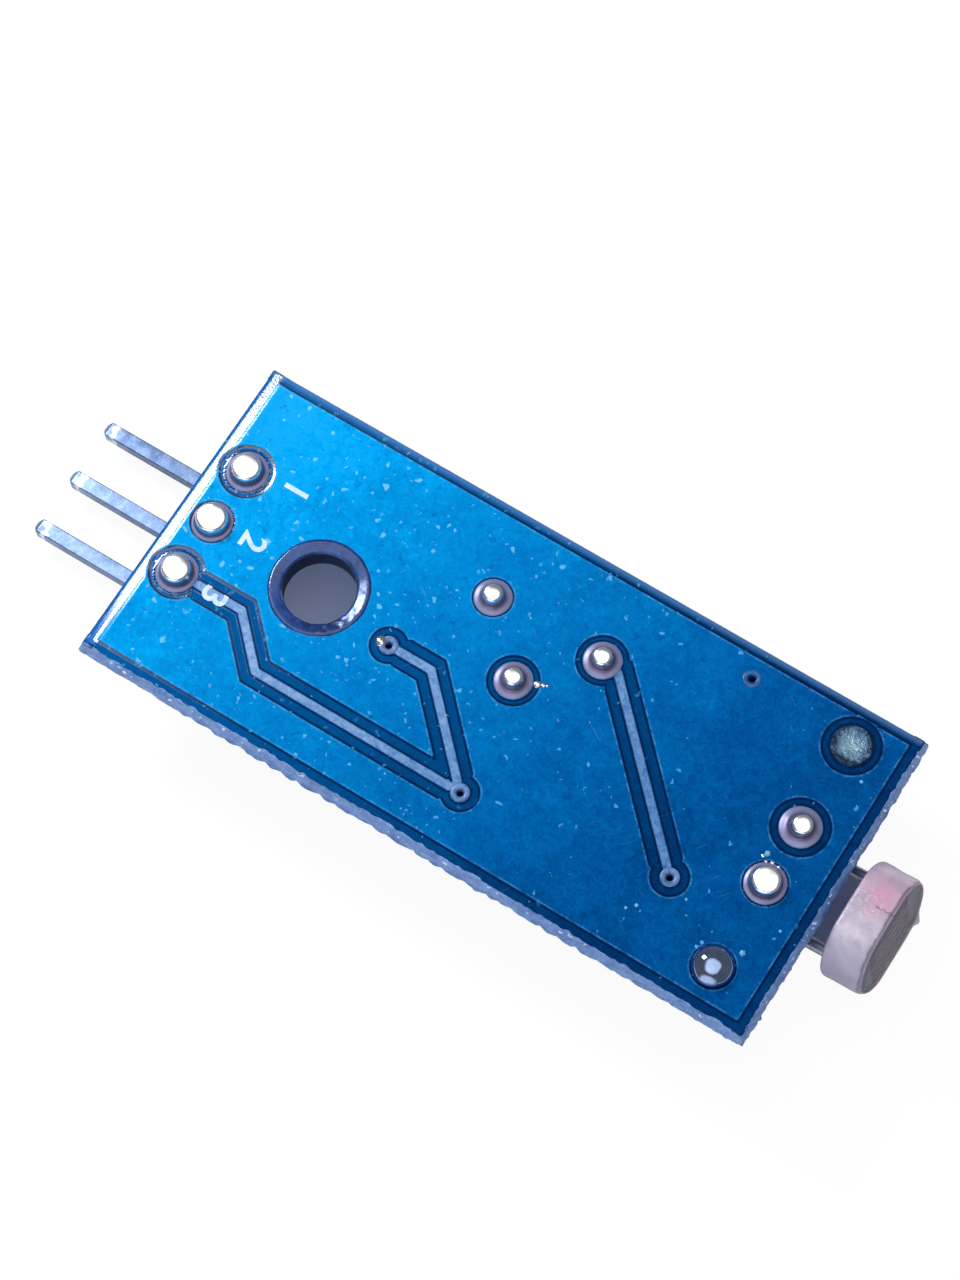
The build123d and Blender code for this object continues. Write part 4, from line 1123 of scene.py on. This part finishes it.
def solder_mound(name, low, high, profile, lump, seed, lean=(0.0, 0.0)):
    """Solder frozen on one pad, as wide and high as the CAD joint, with its own lumps and lean in mm."""
    foot = (high.x - low.x) / 2
    rise_height = high.z - copper_top
    mound = turned(name, [(radius * foot, height * rise_height) for radius, height in profile], steps=32)
    for vertex in mound.data.vertices:
        vertex.co += Vector((lean[0], lean[1], 0)) * max(0.0, vertex.co.z / rise_height)
    mound.location = Vector(((low.x + high.x) / 2, (low.y + high.y) / 2, copper_top)) * MM
    bpy.ops.object.transform_apply(location=True)
    return roughen(mound, size=0.45, depth=lump, seed=seed,
                   keep=lambda point: max(0.0, min(1.0, (point.z - copper_top) / 0.15)))


def solder_mounds(node, profiles, material, lump, leans=((0.0, 0.0),) * 3):
    """The joints of one CAD node, in the order of their places, joined into one piece."""
    mounds = [solder_mound("mound", low, high, profile, lump, seed, lean)
              for seed, ((low, high), profile, lean) in enumerate(zip(solids_of(node), profiles, leans), 1)]
    return dress(join(mounds, f"{node}_joints"), material, replaced=[node])


solder_mounds("header_solder", [joint_profile(0.63), joint_profile(0.68), joint_profile(0.63)],
              solder_finish, lump=0.014)
solder_mounds("trimmer_solder", [joint_profile(0.45)] * 3, solder_finish, lump=0.014)
solder_mounds("sensor_solder", [joint_profile(0.62), joint_profile(0.44)], solder_finish, lump=0.02,
              leans=((0.03, 0.02), (0.09, 0.0)))
solder_mounds("solder_ball", [ball_profile], ball_solder, lump=0.012)
solder_mounds("spare_pad_fill", [fill_profile], dull_solder, lump=0.07)


# Photoresistor: round leads, and the resin that its head was dipped in

# Each lead's row at its pad and its row where it enters the head
sensor_pad_column = 12.84
lead_rows = {"sensor_lead_signal": (1.385, 1.76), "sensor_lead_ground": (-1.265, -1.64)}
for node, (pad_row, entry_row) in lead_rows.items():
    entry = Vector((head_back.x, entry_row, head_back.z))
    outside = entry - head_axis * 1.1
    stub = Vector((sensor_pad_column, pad_row, copper_top + 0.4))
    bend = Vector((sensor_pad_column, pad_row, outside.z))
    lead = wire(f"{node}_wire", [stub, bend, outside, entry + head_axis * 0.5], bend=0.55, radius=0.25)
    dress(lead, lead_tin, replaced=[node])

# Each row of the resin's skin: its depth from the ceramic's back, and its share of the outline
coat_rows = [(-0.1, 0.0), (-0.1, 0.6), (-0.1, 0.92), (-0.085, 0.965), (-0.03, 0.99), (0.06, 1.0),
             (0.2, 1.0), (0.35, 1.0), (0.5, 1.0), (0.65, 1.0), (0.8, 1.0), (0.95, 1.0), (1.1, 1.0),
             (1.3, 1.0), (1.46, 0.998), (1.55, 0.99), (1.62, 0.975), (1.68, 0.962), (1.74, 0.945),
             (1.78, 0.91), (1.8, 0.85), (1.81, 0.5), (1.81, 0.0)]
coat_columns = 144
coat_radius = 2.52
coat_half_height = 2.15

# The drip at the resin's low side: its length, its place across the head and its depth
drip_length = 0.32
drip_across = 1.65
drip_depth = 1.7


def head_resin():
    """The dipped resin: a flat-sided outline with soft corners, slightly wavy, with a drip at one side."""
    def place(row, column):
        depth, share = coat_rows[row]
        angle = math.tau * (column % (coat_columns - 1)) / (coat_columns - 1)
        flat = coat_half_height / max(abs(math.sin(angle)), 0.05)
        reach = (coat_radius ** -28 + flat ** -28) ** (-1 / 28) * share
        across = math.cos(angle) * reach
        height = math.sin(angle) * reach
        wave = 1.0
        if share > 0.9:
            wave += 0.012 * noise.noise(Vector((across * 0.9, height * 0.9, depth * 1.4)))
        drip = 0.0
        if height < 0:
            aside = ((across - drip_across) / 0.16) ** 2 + ((depth - drip_depth) / 0.14) ** 2
            drip = drip_length * math.exp(-aside)
        spot = head_back + head_axis * (depth + drip * 0.7) + head_rise * (height * wave - drip * 0.3)
        return spot + Vector((0, across * wave, 0))

    return wrapped("head_resin", len(coat_rows), coat_columns, place)


coat = head_resin()
smooth(coat, 1)
dress(coat, sensor_resin, replaced=["sensor_coat"])


# Pieces whose moulded, plated or tumbled edges are rounded: words in their names, width, finish and slot

rounded_edges = [
    ("header_pin", 0.05, pin_tin, "pin_metal"), ("header_block", 0.08, header_plastic, "header_plastic"),
    ("trimmer_case", 0.1, case_plastic, "trimmer_case"), ("trimmer_base", 0.06, base_resin, "trimmer_base"),
    ("comparator_body", 0.05, black_epoxy, "case_black"), ("comparator_legs", 0.03, lead_tin, "lead_metal"),
    ("trimmer_rotor", 0.06, rotor_plastic, "trimmer_rotor"), ("_caps", 0.035, chip_tin, "chip_ends"),
    ("_lens", 0.04, lamp_resin, "lamp_lens"),
]
for words, width, material, slot in rounded_edges:
    for node in nodes:
        if words in node:
            piece = soften(merged(node, f"{node}_rounded"), width)
            dress(piece, material, "adjuster" if node == "trimmer_rotor" else "board", [node])

# Finishes of the CAD nodes, by words in their names
finishes = {
    "laminate": glass_laminate, "ground_plane": tinned_copper, "_track": tinned_copper,
    "solder_side_pads": tinned_copper, "hole_plating": tinned_copper, "header_pin": pin_tin,
    "header_block": header_plastic, "_solder": bright_solder, "solder_ball": ball_solder,
    "spare_pad_fill": dull_solder, "trimmer_case": case_plastic, "trimmer_rotor": rotor_plastic,
    "trimmer_seal": seal_rubber, "trimmer_wiper": spring_bronze, "trimmer_film": resistive_film,
    "trimmer_ceramic": alumina, "trimmer_leg": lead_tin, "trimmer_base": base_resin, "sensor_lead": lead_tin,
    "sensor_ceramic": shaded_sensor_clay, "sensor_film": sensor_line, "sensor_electrodes": sensor_metal,
    "sensor_coat": sensor_resin, "comparator_body": black_epoxy, "comparator_legs": lead_tin,
    "_caps": chip_tin, "_lens": lamp_resin, "_contacts": lamp_gold, "lamp_base": lamp_white,
    "resistor_body": resistor_glass, "capacitor_body": capacitor_clay,
}
for words, material in finishes.items():
    for node in nodes:
        if words in node:
            repaint(node, material)


# Floor, light and camera

def floor_patch(tree, spot, low, high, softness):
    """1 inside a rectangle of the floor and 0 outside it, with soft edges."""
    middle = ((low[0] + high[0]) / 2, (low[1] + high[1]) / 2, 0)
    away = add_node(tree, "VectorMath", {0: spot, 1: middle}, operation="SUBTRACT")
    away = add_node(tree, "VectorMath", {0: away}, operation="ABSOLUTE")
    apart = add_node(tree, "SeparateXYZ", [away]).node.outputs
    halves = [(high[axis] - low[axis]) / 2 for axis in (0, 1)]
    shares = [add_node(tree, "MapRange", [apart[axis], halves[axis], halves[axis] - softness])
              for axis in (0, 1)]
    return add_node(tree, "Math", shares, operation="MULTIPLY")


def pale_floor():
    """Matt white paper: nearly white, with the object's shadow kept pale where the camera sees it. The paper
    right under the board, seen through its hole and past the photoresistor's leads, keeps its full shade, is
    painted pale blue as the board's bounced light, and carries a painted slate shadow past the leads."""
    material, tree, shader, spot = new_material("matt white paper", roughness=0.9)
    fibres = add_node(tree, "TexNoise", {"Vector": spot, "Scale": 2.0, "Detail": 3.0})
    gap_shadow_patch = floor_patch(tree, spot, low=(12.0, -0.75), high=(15.7, 2.95), softness=0.3)
    under_board = floor_patch(tree, spot, low=(-15.0, -5.3), high=(13.9, 7.0), softness=0.4)
    under = add_node(tree, "Math", [under_board, gap_shadow_patch], operation="MAXIMUM")
    lit = add_node(tree, "Mix", {0: fibres, 6: "#f2f3f6", 7: "#f6f7f9"}, **colour_mix)
    # Painted light and shade: pale blue bounce under the board, and a slate painted shadow past the leads
    painted_under_shade = add_node(tree, "Mix", {0: gap_shadow_patch, 6: "#d8e4ff", 7: "#7f8ab4"}, **colour_mix)
    paper = add_node(tree, "Mix", {0: under, 6: lit, 7: painted_under_shade}, **colour_mix)
    tree.links.new(paper, shader.inputs["Base Color"])
    path = add_node(tree, "LightPath").node.outputs
    seen = add_node(tree, "Math", [path["Is Camera Ray"], path["Is Transmission Ray"]], operation="MAXIMUM")
    open_floor = add_node(tree, "MapRange", [under, 0.0, 1.0, paper_white, 0.0])
    share = add_node(tree, "Math", [seen, open_floor], operation="MULTIPLY")
    glow = add_node(tree, "Emission", {"Color": "#ffffff", "Strength": 1.05})
    blend = add_node(tree, "MixShader", [share, shader.outputs[0], glow])
    tree.links.new(blend, tree.nodes["Material Output"].inputs["Surface"])
    return material


paper_white = 0.88
bpy.ops.mesh.primitive_plane_add(size=2.0, location=(0, 0, 0))
floor = newest("floor")
floor.data.materials.append(pale_floor())

world = bpy.context.scene.world or bpy.data.worlds.new("studio")
bpy.context.scene.world = world
world.use_nodes = True


def studio_sky(tree):
    """A bright soft panel overhead, a low window behind the camera, dim walls, and plain white where the
    camera sees past the floor."""
    background = tree.nodes["Background"]
    direction = add_node(tree, "TexCoord", output="Generated")
    height = add_node(tree, "SeparateXYZ", [direction], "Z")
    panel = add_node(tree, "MapRange", [height, 0.84, 0.92, wall_light, panel_light])
    window_way = Vector((0.15, -0.95, 0.27)).normalized()
    towards = add_node(tree, "VectorMath", {0: direction, 1: window_way}, "Value", operation="DOT_PRODUCT")
    window = add_node(tree, "MapRange", [towards, 0.8, 0.93, 0.0, window_light])
    seen = add_node(tree, "LightPath", output="Is Camera Ray")
    light = add_node(tree, "Math", [panel, window], operation="ADD")
    strength = add_node(tree, "Mix", {0: seen, 2: light, 3: 1.0})
    tree.links.new(strength, background.inputs["Strength"])
    background.inputs["Color"].default_value = linear("#ffffff")


wall_light = 0.2
panel_light = 1.6
window_light = 1.2
studio_sky(world.node_tree)


def soft_lamp(name, place, aim, size, power):
    """Adds a square soft lamp that faces a point and isn't seen itself."""
    bpy.ops.object.light_add(type="AREA", location=Vector(place) * MM)
    lamp = bpy.context.object
    lamp.name = name
    lamp.data.size = size * MM
    lamp.data.energy = power
    lamp.rotation_euler = (Vector(place) - Vector(aim)).to_track_quat("Z", "Y").to_euler()
    lamp.visible_camera = False


soft_lamp("key_lamp", place=(-72, 22, 84), aim=(0, 0, 5), size=26, power=0.062)

camera_place = Vector((30.56, -40.24, 147.54)) * MM
camera_right = Vector((0.84454, 0.53428, -0.03593))
camera_up = Vector((-0.49066, 0.79897, 0.34771))
camera_back = Vector((0.21448, -0.27603, 0.93691))
bpy.ops.object.camera_add(location=camera_place)
camera = bpy.context.object
camera.rotation_euler = Matrix((camera_right, camera_up, camera_back)).transposed().to_euler()
camera.data.sensor_width = 36
camera.data.lens = 107.85
camera.data.clip_start = 1 * MM
bpy.context.scene.camera = camera
bpy.context.scene.view_settings.view_transform = "Standard"
